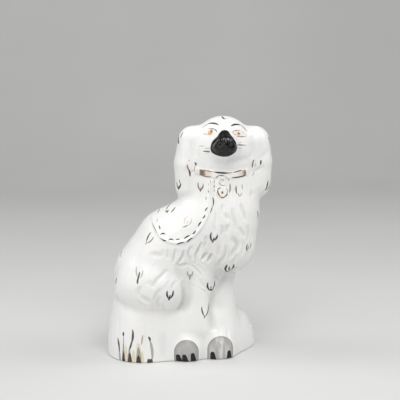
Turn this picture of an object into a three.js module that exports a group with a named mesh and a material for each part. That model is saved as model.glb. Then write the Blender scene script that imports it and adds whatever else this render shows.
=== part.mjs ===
// Seated spaniel, a flat-backed moulded earthenware mantelpiece figure.
// Millimetres, +Z up, x to the viewer's right, -y towards the viewer, origin under the middle.
// The whole dog, its base, collar, locket and chain come out of one mould, so it is one solid.
import * as THREE from 'three';
import { LoftGeometry } from 'three/addons/geometries/LoftGeometry.js';

// Driving dimensions
const BACK_PLANE = 46;          // flat back, distance behind the modelling axis
const BACK_ROUND = 14;          // softness of the edge round the flat back
const CROWN_HEIGHT = 294;       // top of the head above the shelf
const FOOT_BEVEL = 1.2;         // small bevel round the foot ring
const BASE_SLOPE = 0.00195;     // how fast the skirt of the base draws in, per mm of height squared
const FRAME_SHIFT = [-0.46, 1.61]; // moves the modelling axis to the middle of the bounding box

// Mesh density
const COLUMNS = 64;
const ROWS = 76;
const FINE_ROWS = 260;
const FRONT_CROWDING = 0.3;     // crowds the columns towards the modelled front
const POLE_TILT = 83 * Math.PI / 180;
const MIN_GROOVE = 4.4;         // half-width that the narrowest carved line is given

// Inner axis that the surface is measured from: height, x, y
const SPINE = [
  [0, -8, 8],
  [60, -2, 8],
  [110, 4, 8],
  [160, 22, 6],
  [200, 40, 4],
  [250, 41.5, 2],
];

// Rounded forms. Each returns the distance from a point to its surface, minus inside.
function egg(centre, radii) {
  return (x, y, z) => {
    const ax = (x - centre[0]) / radii[0];
    const ay = (y - centre[1]) / radii[1];
    const az = (z - centre[2]) / radii[2];
    const outer = Math.hypot(ax, ay, az);
    const slope = Math.hypot(ax / radii[0], ay / radii[1], az / radii[2]);
    return outer * (outer - 1) / Math.max(slope, 1e-6);
  };
}

function limb(from, to, startRadius, endRadius) {
  const along = [to[0] - from[0], to[1] - from[1], to[2] - from[2]];
  const lengthSquared = along[0] ** 2 + along[1] ** 2 + along[2] ** 2;
  return (x, y, z) => {
    const dx = x - from[0];
    const dy = y - from[1];
    const dz = z - from[2];
    const run = (dx * along[0] + dy * along[1] + dz * along[2]) / lengthSquared;
    const t = Math.min(Math.max(run, 0), 1);
    const gap = Math.hypot(dx - t * along[0], dy - t * along[1], dz - t * along[2]);
    return gap - (startRadius + (endRadius - startRadius) * t);
  };
}

// Clay pressed together: the smaller distance, with a fillet of the given softness
function press(a, b, softness) {
  const overlap = Math.max(softness - Math.abs(a - b), 0) / softness;
  return Math.min(a, b) - overlap * overlap * softness / 4;
}

function pressed(softness, ...forms) {
  return (x, y, z) => forms.slice(1).reduce(
    (sum, form) => press(sum, form(x, y, z), softness),
    forms[0](x, y, z),
  );
}

function bend(a, b, middle, radii, softness) {
  return pressed(softness, limb(a, middle, radii[0], radii[1]), limb(middle, b, radii[1], radii[2]));
}

// Trunk: rump, back and shoulder rise as one limb, with the chest hanging in front of it
const rump = limb([-44.5, 6, 98], [-20, 6, 135], 48.6, 46);
const shoulder = limb([-20, 6, 135], [13, 5, 157], 46, 42.5);
const chest = egg([46, 2, 160], [38, 46, 56]);
const brisket = egg([48, 1, 131], [30.5, 41, 31]);
const innerWall = limb([22, 16, 20], [20, 14, 112], 34, 34);

// Legs and feet
const thigh = egg([-48.5, -14, 90], [44, 35, 41]);
const hock = egg([-27, -19, 84.5], [21.5, 27, 30]);
const nearForeleg = limb([11, -14, 120], [9, -20, 40], 21, 17);
const farForeleg = limb([38, 6, 100], [38, 0, 30], 17, 19);
const nearPaw = egg([-4, -34, 8], [16, 14, 20]);
const farPaw = egg([35, -26.5, 8], [18, 15, 23]);

// Base: a plump D in plan under the haunch, and a lower mound beyond the far foot
const MOUND_SQUASH = 0.6;
const frontLobe = limb([-56, -2, 0], [15, 4, 0], 45.3, 39.5);
const backLobe = limb([-57, 16, 0], [20, 20, 0], 44.3, 36);
const moundLobe = limb([34, -2, 0], [54, 24, 0], 31.5, 31);

function plinth(x, y, z) {
  const wall = press(frontLobe(x, y, 0), backLobe(x, y, 0), 6) + BASE_SLOPE * z * z;
  const lid = z - (66 - 0.14 * (x + 10));
  return -press(-wall, -lid, 14);
}

function mound(x, y, z) {
  return moundLobe(x, y, z * MOUND_SQUASH);
}

// Head: neck, skull, two hanging ears, and a muzzle with its bridge
const neck = limb([44, 4, 184], [41.5, 3, 232], 43, 36);
const skull = egg([41.5, 3, CROWN_HEIGHT - 42], [39, 36, 42]);
const leftEar = bend([5, 5, 264], [3, 5, 208], [2, 5, 236], [18, 20, 19.5], 1.5);
const rightEar = bend([80.1, 5, 262], [81.7, 5, 212], [82.8, 5, 238], [19.5, 19.8, 19.5], 1.5);
const jaw = limb([41.5, -16, 256], [41.5, -31, 258], 21, 15.5);
const bridge = limb([41.5, -24, 273], [41.5, -38, 264], 8, 11);
const muzzle = pressed(6, jaw, bridge);

function head(x, y, z) {
  const crown = press(neck(x, y, z), skull(x, y, z), 8);
  const ears = press(leftEar(x, y, z), rightEar(x, y, z), 1);
  return press(press(crown, ears, 9), muzzle(x, y, z), 12);
}

// The whole figure before carving
function figure(x, y, z) {
  let d = press(rump(x, y, z), shoulder(x, y, z), 4);
  d = press(d, chest(x, y, z), 16);
  d = press(d, brisket(x, y, z), 12);
  d = press(d, innerWall(x, y, z), 10);
  d = press(d, press(thigh(x, y, z), hock(x, y, z), 8), 4);
  d = press(d, plinth(x, y, z), 4);
  d = press(d, mound(x, y, z), 14);
  d = press(d, farForeleg(x, y, z), 10);
  d = press(d, nearForeleg(x, y, z), 10);
  d = press(d, nearPaw(x, y, z), 10);
  d = press(d, farPaw(x, y, z), 10);
  d = press(d, head(x, y, z), 10);
  return -press(-d, BACK_PLANE - y, BACK_ROUND);
}

// Carved and raised lines, drawn on the front as seen square on.
// A line runs from x0, z0 to x1, z1, bowed sideways, with a half-width and a height.
function line(x0, z0, x1, z1, bow, half, height) {
  return { x0, z0, x1, z1, bow, half: Math.max(half, MIN_GROOVE), height };
}

function comb(first, last, count, bow, half, height) {
  const lines = [];
  for (let i = 0; i < count; i += 1) {
    const t = count > 1 ? i / (count - 1) : 0;
    const at = first.map((value, k) => value + (last[k] - value) * t);
    lines.push(line(at[0], at[1], at[2], at[3], bow, half, height));
  }
  return lines;
}

function cord(points, half, height) {
  return points.slice(1).map((p, i) => line(points[i][0], points[i][1], p[0], p[1], 0, half, height));
}

// Fur, in combs that run between a first and a last lock
const FUR = [
  comb([-44.6, 141, -48.5, 122], [-9, 140.5, -18.6, 117], 4, 1, 4.5, -1.4),
  comb([0.7, 146, -5.3, 124], [27.3, 135.4, 19.3, 111], 3, -2.5, 4.5, -1.7),
  comb([27.4, 193.6, 24.6, 169], [73.2, 197.3, 74, 168.7], 4, 2, 4.8, -1.3),
  comb([24.6, 164.3, 33, 141], [74, 163.8, 67.6, 140.3], 4, -2.5, 4.8, -1.6),
  comb([32, 137, 28, 114], [66.3, 136.7, 64.6, 109.6], 3, 2.5, 4.8, -1.7),
  comb([-29.5, 112.8, -47.9, 95.2], [-37, 93.5, -49, 79], 2, -2.4, 4.6, -1.6),
  comb([-61.9, 105.5, -55, 72.2], [-61.9, 105.5, -55, 72.2], 1, -6, 4.6, -1.2),
  comb([94.5, 258, 74, 230], [95.7, 233.8, 76.4, 206], 3, 2.4, 4.6, -1.2),
  comb([-13, 265, 2.5, 239.4], [-16, 241.6, -2, 211], 3, -2.4, 4.6, -1.2),
].flat();

// Collar band, locket and the chain that hangs round the shoulder
const COLLAR = cord([[10, 230.5], [21, 228], [39.5, 227], [57, 227.6], [66, 230.4]], 5.2, 1.5);
const CHAIN = cord([
  [25.4, 219.4],
  [25.2, 196.9],
  [21.4, 182.9],
  [8, 159.3],
  [-1.7, 151],
  [-13.7, 146.6],
  [-25.6, 147.8],
  [-35, 152.1],
  [-40.7, 159.4],
  [-45.5, 175],
], 3.6, 1.8);
const LOCKET = { x: 37, z: 207, radius: 7, height: 2.2 };

function profile(distance, half) {
  const t = Math.min(distance / half, 1);
  return (1 - t * t) ** 2;
}

function lineHeight(item, x, z, tapered) {
  const ax = item.x1 - item.x0;
  const az = item.z1 - item.z0;
  const length = Math.hypot(ax, az);
  const run = ((x - item.x0) * ax + (z - item.z0) * az) / (length * length);
  const side = ((x - item.x0) * az - (z - item.z0) * ax) / length;
  const t = Math.min(Math.max(run, 0), 1);
  const sideways = side - 4 * item.bow * t * (1 - t);
  const beyond = (run - t) * length;
  const taper = tapered ? Math.sqrt(Math.max(4 * t * (1 - t), 0)) : 1;
  return item.height * taper * profile(Math.hypot(sideways, beyond), item.half);
}

function relief(x, z) {
  const cuts = FUR.map((item) => lineHeight(item, x, z, true));
  const bands = [...COLLAR, ...CHAIN].map((item) => lineHeight(item, x, z, false));
  const disc = LOCKET.height * profile(Math.hypot(x - LOCKET.x, z - LOCKET.z), LOCKET.radius);
  return Math.min(...cuts, 0) + Math.max(...bands, disc, 0);
}

// Surface points, measured outwards from the inner axis
function axisAt(height) {
  let i = 1;
  while (i < SPINE.length - 1 && SPINE[i][0] < height) i += 1;
  const [low, high] = [SPINE[i - 1], SPINE[i]];
  const t = Math.min((height - low[0]) / (high[0] - low[0]), 1);
  return new THREE.Vector3(low[1] + (high[1] - low[1]) * t, low[2] + (high[2] - low[2]) * t, height);
}

function surfaceAlong(origin, direction) {
  let reach = 6;
  for (let step = 0; step < 70; step += 1) {
    const p = direction.clone().multiplyScalar(reach).add(origin);
    const gap = figure(p.x, p.y, p.z);
    reach -= 0.85 * gap;
    if (Math.abs(gap) < 0.002) break;
  }
  return direction.clone().multiplyScalar(reach).add(origin);
}

function normalAt(p) {
  const e = 0.4;
  return new THREE.Vector3(
    figure(p.x + e, p.y, p.z) - figure(p.x - e, p.y, p.z),
    figure(p.x, p.y + e, p.z) - figure(p.x, p.y - e, p.z),
    figure(p.x, p.y, p.z + e) - figure(p.x, p.y, p.z - e),
  ).normalize();
}

// Relief lies on what faces the viewer and fades out round the sides
function carved(p) {
  const normal = normalAt(p);
  const facing = THREE.MathUtils.smoothstep(-normal.y, 0.1, 0.4);
  const lifted = normal.multiplyScalar(relief(p.x, p.z) * facing);
  return p.clone().add(lifted);
}

// One column of points from just above the foot, up and over to the crown
function column(angle) {
  const lastHeight = SPINE[SPINE.length - 1][0];
  const straightRows = Math.round(FINE_ROWS * 0.82);
  const points = [];
  for (let i = 0; i < FINE_ROWS; i += 1) {
    const rising = i < straightRows;
    const height = rising ? FOOT_BEVEL + (lastHeight - FOOT_BEVEL) * i / straightRows : lastHeight;
    const tilt = rising ? 0 : POLE_TILT * (i - straightRows) / (FINE_ROWS - 1 - straightRows);
    const direction = new THREE.Vector3(
      Math.sin(angle) * Math.cos(tilt),
      -Math.cos(angle) * Math.cos(tilt),
      Math.sin(tilt),
    );
    points.push(surfaceAlong(axisAt(height), direction));
  }
  return points;
}

// Spaces a column's points evenly along its own outline
function evenly(points, count) {
  const run = [0];
  for (let i = 1; i < points.length; i += 1) {
    run.push(run[i - 1] + points[i].distanceTo(points[i - 1]));
  }
  const total = run[run.length - 1];
  const result = [];
  let k = 1;
  for (let i = 0; i < count; i += 1) {
    const target = total * i / (count - 1);
    while (k < points.length - 1 && run[k] < target) k += 1;
    const t = (target - run[k - 1]) / (run[k] - run[k - 1]);
    result.push(points[k - 1].clone().lerp(points[k], Math.min(Math.max(t, 0), 1)));
  }
  return result;
}

function footPoint(first) {
  const axis = axisAt(0);
  const inwards = new THREE.Vector3(axis.x - first.x, axis.y - first.y, 0).normalize();
  return new THREE.Vector3(first.x, first.y, 0).addScaledVector(inwards, FOOT_BEVEL);
}

function sections() {
  const columns = [];
  for (let j = 0; j < COLUMNS; j += 1) {
    const even = 2 * Math.PI * j / COLUMNS;
    const rising = evenly(column(even - FRONT_CROWDING * Math.sin(even)), ROWS - 1);
    columns.push([footPoint(rising[0]), ...rising.map(carved)]);
  }
  return Array.from({ length: ROWS }, (_, i) => columns.map((points) => points[i]));
}

const surface = new LoftGeometry(sections(), { capStart: true, capEnd: true });
surface.translate(FRAME_SHIFT[0], FRAME_SHIFT[1], 0);

const glazedEarthenware = new THREE.MeshStandardMaterial({
  color: 0xece9e1,
  roughness: 0.16,
  metalness: 0,
});

const dog = new THREE.Mesh(surface, glazedEarthenware);
dog.name = 'dog_figure';

const group = new THREE.Group();
group.name = 'mantelpiece_spaniel';
group.add(dog);

export default group;
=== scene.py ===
"""Seated mantelpiece spaniel: the glazed figure with its painted marks, the light and the camera.

Shapes are worked out in millimetres on the figure's modelling axis: x to the viewer's right, -y
towards the viewer, z up. They are shifted to the middle of the frame and scaled to metres when the
mesh is made.
"""

import logging
import math
from dataclasses import dataclass, field
from enum import Enum

import bpy
import numpy as np
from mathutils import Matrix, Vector


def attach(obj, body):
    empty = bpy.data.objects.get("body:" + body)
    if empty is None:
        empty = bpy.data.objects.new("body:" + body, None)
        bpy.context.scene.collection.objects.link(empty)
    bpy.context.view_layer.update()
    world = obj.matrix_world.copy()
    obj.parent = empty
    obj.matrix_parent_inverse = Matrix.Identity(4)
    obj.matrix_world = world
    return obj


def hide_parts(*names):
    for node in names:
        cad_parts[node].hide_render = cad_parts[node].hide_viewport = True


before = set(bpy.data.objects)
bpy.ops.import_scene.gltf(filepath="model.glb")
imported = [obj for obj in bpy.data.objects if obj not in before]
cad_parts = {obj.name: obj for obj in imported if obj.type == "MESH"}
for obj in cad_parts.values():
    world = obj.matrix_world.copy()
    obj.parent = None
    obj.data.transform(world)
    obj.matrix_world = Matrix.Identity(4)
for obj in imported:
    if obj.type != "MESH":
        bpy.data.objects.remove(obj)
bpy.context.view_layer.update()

LOG = logging.getLogger("spaniel")
MM = 0.001
# from the modelling axis to the frame, which has its origin under the middle of the figure, in mm
FRAME_SHIFT = np.array([-0.46, 1.61, 0.0])
# more than any distance on the figure, in mm, also when squared
CLEAR = 1e6
# where the distance from a filled area's edge stops counting, in mm
FAR = 50.0
# keeps a fill off what faces backwards
FRONT_ONLY = 12.0

Point = tuple[float, float, float]
Flat = tuple[float, float]
Rgb = tuple[float, float, float]
Rgba = tuple[float, float, float, float]
Touch = tuple[Flat, Flat, float, float]


def press(a: np.ndarray, b: np.ndarray, softness: float) -> np.ndarray:
    """Presses two clay forms together with a fillet.

    Args:
        a: Distances to the first form, negative inside.
        b: Distances to the second form.
        softness: How far from the seam the fillet reaches, in mm.

    Returns:
        Distances to the joined form.
    """
    overlap = np.maximum(softness - np.abs(a - b), 0.0) / softness
    return np.minimum(a, b) - overlap * overlap * softness / 4.0


def smooth_step(value: np.ndarray, low: float, high: float) -> np.ndarray:
    """Returns 0 below low, 1 above high and a soft ramp between."""
    t = np.clip((value - low) / (high - low), 0.0, 1.0)
    return t * t * (3.0 - 2.0 * t)


@dataclass(frozen=True)
class Egg:
    """A rounded lump of clay with three radii."""

    centre: Point
    radii: Point

    def gap(self, points: np.ndarray) -> np.ndarray:
        """Measures points against the lump.

        Args:
            points: Places in mm, with the three coordinates last.

        Returns:
            The distance of each point, negative inside.
        """
        radii = np.array(self.radii, np.float32)
        offset = (points - np.array(self.centre, np.float32)) / radii
        outer = np.linalg.norm(offset, axis=-1)
        slope = np.linalg.norm(offset / radii, axis=-1)
        return outer * (outer - 1.0) / np.maximum(slope, 1e-6)


@dataclass(frozen=True)
class Limb:
    """A rounded, tapering roll of clay between two points."""

    start: Point
    end: Point
    start_radius: float
    end_radius: float

    def gap(self, points: np.ndarray) -> np.ndarray:
        """Measures points against the roll.

        Args:
            points: Places in mm, with the three coordinates last.

        Returns:
            The distance of each point, negative inside.
        """
        start = np.array(self.start, np.float32)
        along = np.array(self.end, np.float32) - start
        run = np.clip((points - start) @ along / (along @ along), 0.0, 1.0)
        offset = points - start - run[..., None] * along
        radius = self.start_radius + (self.end_radius - self.start_radius) * run
        return np.linalg.norm(offset, axis=-1) - radius


@dataclass(frozen=True)
class Trunk:
    """Rump, back, shoulder and chest, with the wall of clay behind the forelegs."""

    rump: Limb = Limb((-44.5, 6, 98), (-20, 6, 135), 48.6, 46)
    shoulder: Limb = Limb((-20, 6, 135), (13, 5, 157), 46, 42.5)
    chest: Egg = Egg((46, 2, 160), (38, 46, 56))
    brisket: Egg = Egg((48, 1, 131), (30.5, 41, 31))
    inner_wall: Limb = Limb((22, 16, 20), (20, 14, 112), 34, 34)
    back_fillet: float = 4
    chest_fillet: float = 16
    brisket_fillet: float = 12
    wall_fillet: float = 10

    def gap(self, points: np.ndarray) -> np.ndarray:
        """Measures points against the trunk.

        Args:
            points: Places in mm, with the three coordinates last.

        Returns:
            The distance of each point, negative inside.
        """
        gap = press(self.rump.gap(points), self.shoulder.gap(points), self.back_fillet)
        gap = press(gap, self.chest.gap(points), self.chest_fillet)
        gap = press(gap, self.brisket.gap(points), self.brisket_fillet)
        return press(gap, self.inner_wall.gap(points), self.wall_fillet)


@dataclass(frozen=True)
class Haunch:
    """The near thigh with the hock below it."""

    thigh: Egg = Egg((-48.5, -14, 90), (44, 35, 41))
    hock: Egg = Egg((-27, -19, 84.5), (21.5, 27, 30))
    fillet: float = 8

    def gap(self, points: np.ndarray) -> np.ndarray:
        """Returns the distance of each point from the haunch."""
        return press(self.thigh.gap(points), self.hock.gap(points), self.fillet)


@dataclass(frozen=True)
class Base:
    """The plump plinth under the haunch and the lower mound beyond the far foot."""

    front_lobe: Limb = Limb((-56, -2, 0), (15, 4, 0), 45.3, 39.5)
    back_lobe: Limb = Limb((-57, 16, 0), (20, 20, 0), 44.3, 36)
    mound_lobe: Limb = Limb((34, -2, 0), (54, 24, 0), 31.5, 31)
    lobe_fillet: float = 6
    slope: float = 0.00195
    lid_height: float = 66.0
    lid_fall: float = 0.14
    lid_from: float = -10.0
    shoulder: float = 14
    mound_squash: float = 0.6

    def plinth(self, points: np.ndarray) -> np.ndarray:
        """Measures points against the plinth.

        Args:
            points: Places in mm, with the three coordinates last.

        Returns:
            The distance of each point, negative inside.
        """
        plan = points * np.array([1, 1, 0], np.float32)
        height = points[..., 2]
        wall = press(self.front_lobe.gap(plan), self.back_lobe.gap(plan), self.lobe_fillet)
        wall = wall + self.slope * height * height
        lid = height - (self.lid_height - self.lid_fall * (points[..., 0] - self.lid_from))
        return -press(-wall, -lid, self.shoulder)

    def mound(self, points: np.ndarray) -> np.ndarray:
        """Returns the distance of each point from the mound."""
        return self.mound_lobe.gap(points * np.array([1, 1, self.mound_squash], np.float32))


@dataclass(frozen=True)
class Legs:
    """Two forelegs and the two paws that show on the base."""

    far_foreleg: Limb = Limb((38, 6, 100), (38, 0, 30), 17, 19)
    near_foreleg: Limb = Limb((11, -14, 120), (9, -20, 40), 21, 17)
    near_paw: Egg = Egg((-4, -34, 8), (16, 14, 20))
    far_paw: Egg = Egg((35, -26.5, 8), (18, 15, 23))
    fillet: float = 10

    def press_on(self, gap: np.ndarray, points: np.ndarray) -> np.ndarray:
        """Presses the legs and paws on, one after another.

        Args:
            gap: Distances to the rest of the figure.
            points: Places in mm, with the three coordinates last.

        Returns:
            The distance of each point from it all.
        """
        for form in (self.far_foreleg, self.near_foreleg, self.near_paw, self.far_paw):
            gap = press(gap, form.gap(points), self.fillet)
        return gap


@dataclass(frozen=True)
class Head:
    """Neck, skull, the two hanging ears and the muzzle."""

    neck: Limb = Limb((44, 4, 184), (41.5, 3, 232), 43, 36)
    skull: Egg = Egg((41.5, 3, 252), (39, 36, 42))
    left_ear: tuple[Limb, Limb] = (
        Limb((5, 5, 264), (2, 5, 236), 18, 20),
        Limb((2, 5, 236), (3, 5, 208), 20, 19.5),
    )
    right_ear: tuple[Limb, Limb] = (
        Limb((80.1, 5, 262), (82.8, 5, 238), 19.5, 19.8),
        Limb((82.8, 5, 238), (81.7, 5, 212), 19.8, 19.5),
    )
    jaw: Limb = Limb((41.5, -16, 256), (41.5, -31, 258), 21, 15.5)
    bridge: Limb = Limb((41.5, -24, 273), (41.5, -38, 264), 8, 11)
    nape_fillet: float = 8
    ear_fillet: float = 1.5
    ears_apart: float = 1
    ear_root_fillet: float = 9
    bridge_fillet: float = 6
    muzzle_fillet: float = 12

    def gap(self, points: np.ndarray) -> np.ndarray:
        """Measures points against the head.

        Args:
            points: Places in mm, with the three coordinates last.

        Returns:
            The distance of each point, negative inside.
        """
        gap = press(self.neck.gap(points), self.skull.gap(points), self.nape_fillet)
        left, right = (
            press(upper.gap(points), lower.gap(points), self.ear_fillet)
            for upper, lower in (self.left_ear, self.right_ear)
        )
        gap = press(gap, press(left, right, self.ears_apart), self.ear_root_fillet)
        muzzle = press(self.jaw.gap(points), self.bridge.gap(points), self.bridge_fillet)
        return press(gap, muzzle, self.muzzle_fillet)


@dataclass(frozen=True)
class Furrow:
    """One line worked into the clay along a run of places, seen square on."""

    places: tuple[Flat, ...]
    half: float
    height: float
    tapered: bool = True

    def curve(self) -> np.ndarray:
        """Draws a smooth line through the places.

        Returns:
            The places with more between them.
        """
        knots = np.array(self.places, float)
        if len(knots) < 3:
            return knots
        ends = np.concatenate([[2 * knots[0] - knots[1]], knots, [2 * knots[-1] - knots[-2]]])
        result = [knots[0]]
        for a, b, c, d in zip(ends, ends[1:], ends[2:], ends[3:]):
            for t in (0.25, 0.5, 0.75, 1.0):
                bend = 2 * b + (c - a) * t + (2 * a - 5 * b + 4 * c - d) * t**2
                result.append(0.5 * (bend + (3 * b - 3 * c + d - a) * t**3))
        return np.array(result)

    def lift(self, x: np.ndarray, z: np.ndarray) -> np.ndarray:
        """Works out how the line lifts the surface.

        Args:
            x: Places across the figure, in mm.
            z: Heights, in mm.

        Returns:
            The lift of each place, in mm, negative where the line cuts in.
        """
        path = self.curve()
        low, high = path.min(0) - self.half, path.max(0) + self.half
        near = (x > low[0]) & (x < high[0]) & (z > low[1]) & (z < high[1])
        spots = np.stack([x[near], z[near]], -1)
        lengths = np.linalg.norm(np.diff(path, axis=0), axis=1)
        nearest = np.full(len(spots), CLEAR)
        run = np.zeros(len(spots))
        passed = 0.0
        for start, end, length in zip(path, path[1:], lengths):
            along = end - start
            t = np.clip((spots - start) @ along / (length * length), 0.0, 1.0)
            away = np.linalg.norm(spots - start - t[:, None] * along, axis=1)
            run = np.where(away < nearest, passed + t * length, run)
            nearest = np.minimum(nearest, away)
            passed += length
        run = run / passed
        taper = np.sqrt(4.0 * run * (1.0 - run)) if self.tapered else 1.0
        reach = np.minimum(nearest / self.half, 1.0)
        result = np.zeros_like(x)
        result[near] = self.height * taper * (1.0 - reach * reach) ** 2
        return result


@dataclass(frozen=True)
class Comb:
    """A run of fine hairs between a first and a last one, each a little different."""

    first: tuple[Flat, Flat]
    last: tuple[Flat, Flat]
    count: int
    bow: float
    half: float
    height: float
    sway: float = 0.9
    slide: float = 0.14
    bow_change: float = 0.5
    height_change: float = 0.35

    def furrows(self) -> list[Furrow]:
        """Makes the hairs.

        Returns:
            One line for each hair.
        """
        result = []
        for i in range(self.count):
            t = i / max(self.count - 1, 1)
            sway = self.sway * np.array([math.sin(2.4 * i), math.cos(3.7 * i)])
            slide = self.slide * math.sin(5.3 * i)
            start = np.array(self.first[0]) * (1 - t) + np.array(self.last[0]) * t + sway
            end = np.array(self.first[1]) * (1 - t) + np.array(self.last[1]) * t - sway
            along = end - start
            start, end = start + along * slide, end + along * slide
            side = np.array([along[1], -along[0]]) / np.hypot(*along)
            bow = self.bow * (1.0 + self.bow_change * math.sin(1.7 * i))
            middle = (start + end) / 2 + side * bow
            height = self.height * (1.0 + self.height_change * math.sin(4.1 * i + 1.0))
            result.append(Furrow((tuple(start), tuple(middle), tuple(end)), self.half, height))
        return result


@dataclass(frozen=True)
class Lump:
    """A low rounded swell of the clay, or a dimple where its height is negative."""

    at: Flat
    radii: Flat
    height: float

    def lift(self, x: np.ndarray, z: np.ndarray) -> np.ndarray:
        """Returns how far the lump lifts the surface."""
        reach = np.hypot((x - self.at[0]) / self.radii[0], (z - self.at[1]) / self.radii[1])
        return self.height * np.maximum(1.0 - reach * reach, 0.0) ** 1.5


@dataclass(frozen=True)
class Face:
    """The swell of the eyes and the modelling of the nose."""

    eyes: tuple[Flat, Flat] = ((24.4, 277.2), (57.4, 275.8))
    eye_radii: Flat = (8.0, 5.6)
    eye_height: float = 1.1
    nose_ridge: Furrow = Furrow(((40.8, 280), (40.0, 270), (39.2, 262)), 5.0, 1.6)
    nose_split: Furrow = Furrow(((39.3, 260), (39.2, 249)), 1.9, -1.3)
    nose_x: float = 39.4
    wing: Flat = (8.6, 260.6)
    wing_radii: Flat = (6.6, 6.2)
    wing_height: float = 1.5
    nostril: Flat = (5.0, 256.2)
    nostril_radii: Flat = (2.7, 2.3)
    nostril_depth: float = -1.4
    # the raised edge beside the ridge: its middle, how far to the side, and height
    rim: tuple[Point, ...] = ((39.9, 4.6, 275), (39.8, 7.6, 268.5), (39.6, 11.2, 262))
    rim_half: float = 2.4
    rim_height: float = 0.9

    def lift(self, x: np.ndarray, z: np.ndarray) -> np.ndarray:
        """Works out the relief of the face.

        Args:
            x: Places across the figure, in mm.
            z: Heights, in mm.

        Returns:
            How far each place is lifted, in mm.
        """
        lift = np.zeros_like(x)
        for eye in self.eyes:
            lift += Lump(eye, self.eye_radii, self.eye_height).lift(x, z)
        lift += self.nose_ridge.lift(x, z)
        for side in (-1.0, 1.0):
            wing = (self.nose_x + self.wing[0] * side, self.wing[1])
            lift += Lump(wing, self.wing_radii, self.wing_height).lift(x, z)
            hole = (self.nose_x + self.nostril[0] * side, self.nostril[1])
            lift += Lump(hole, self.nostril_radii, self.nostril_depth).lift(x, z)
            edge = tuple((middle + out * side, height) for middle, out, height in self.rim)
            lift += Furrow(edge, self.rim_half, self.rim_height).lift(x, z)
        return lift + self.nose_split.lift(x, z)


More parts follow.
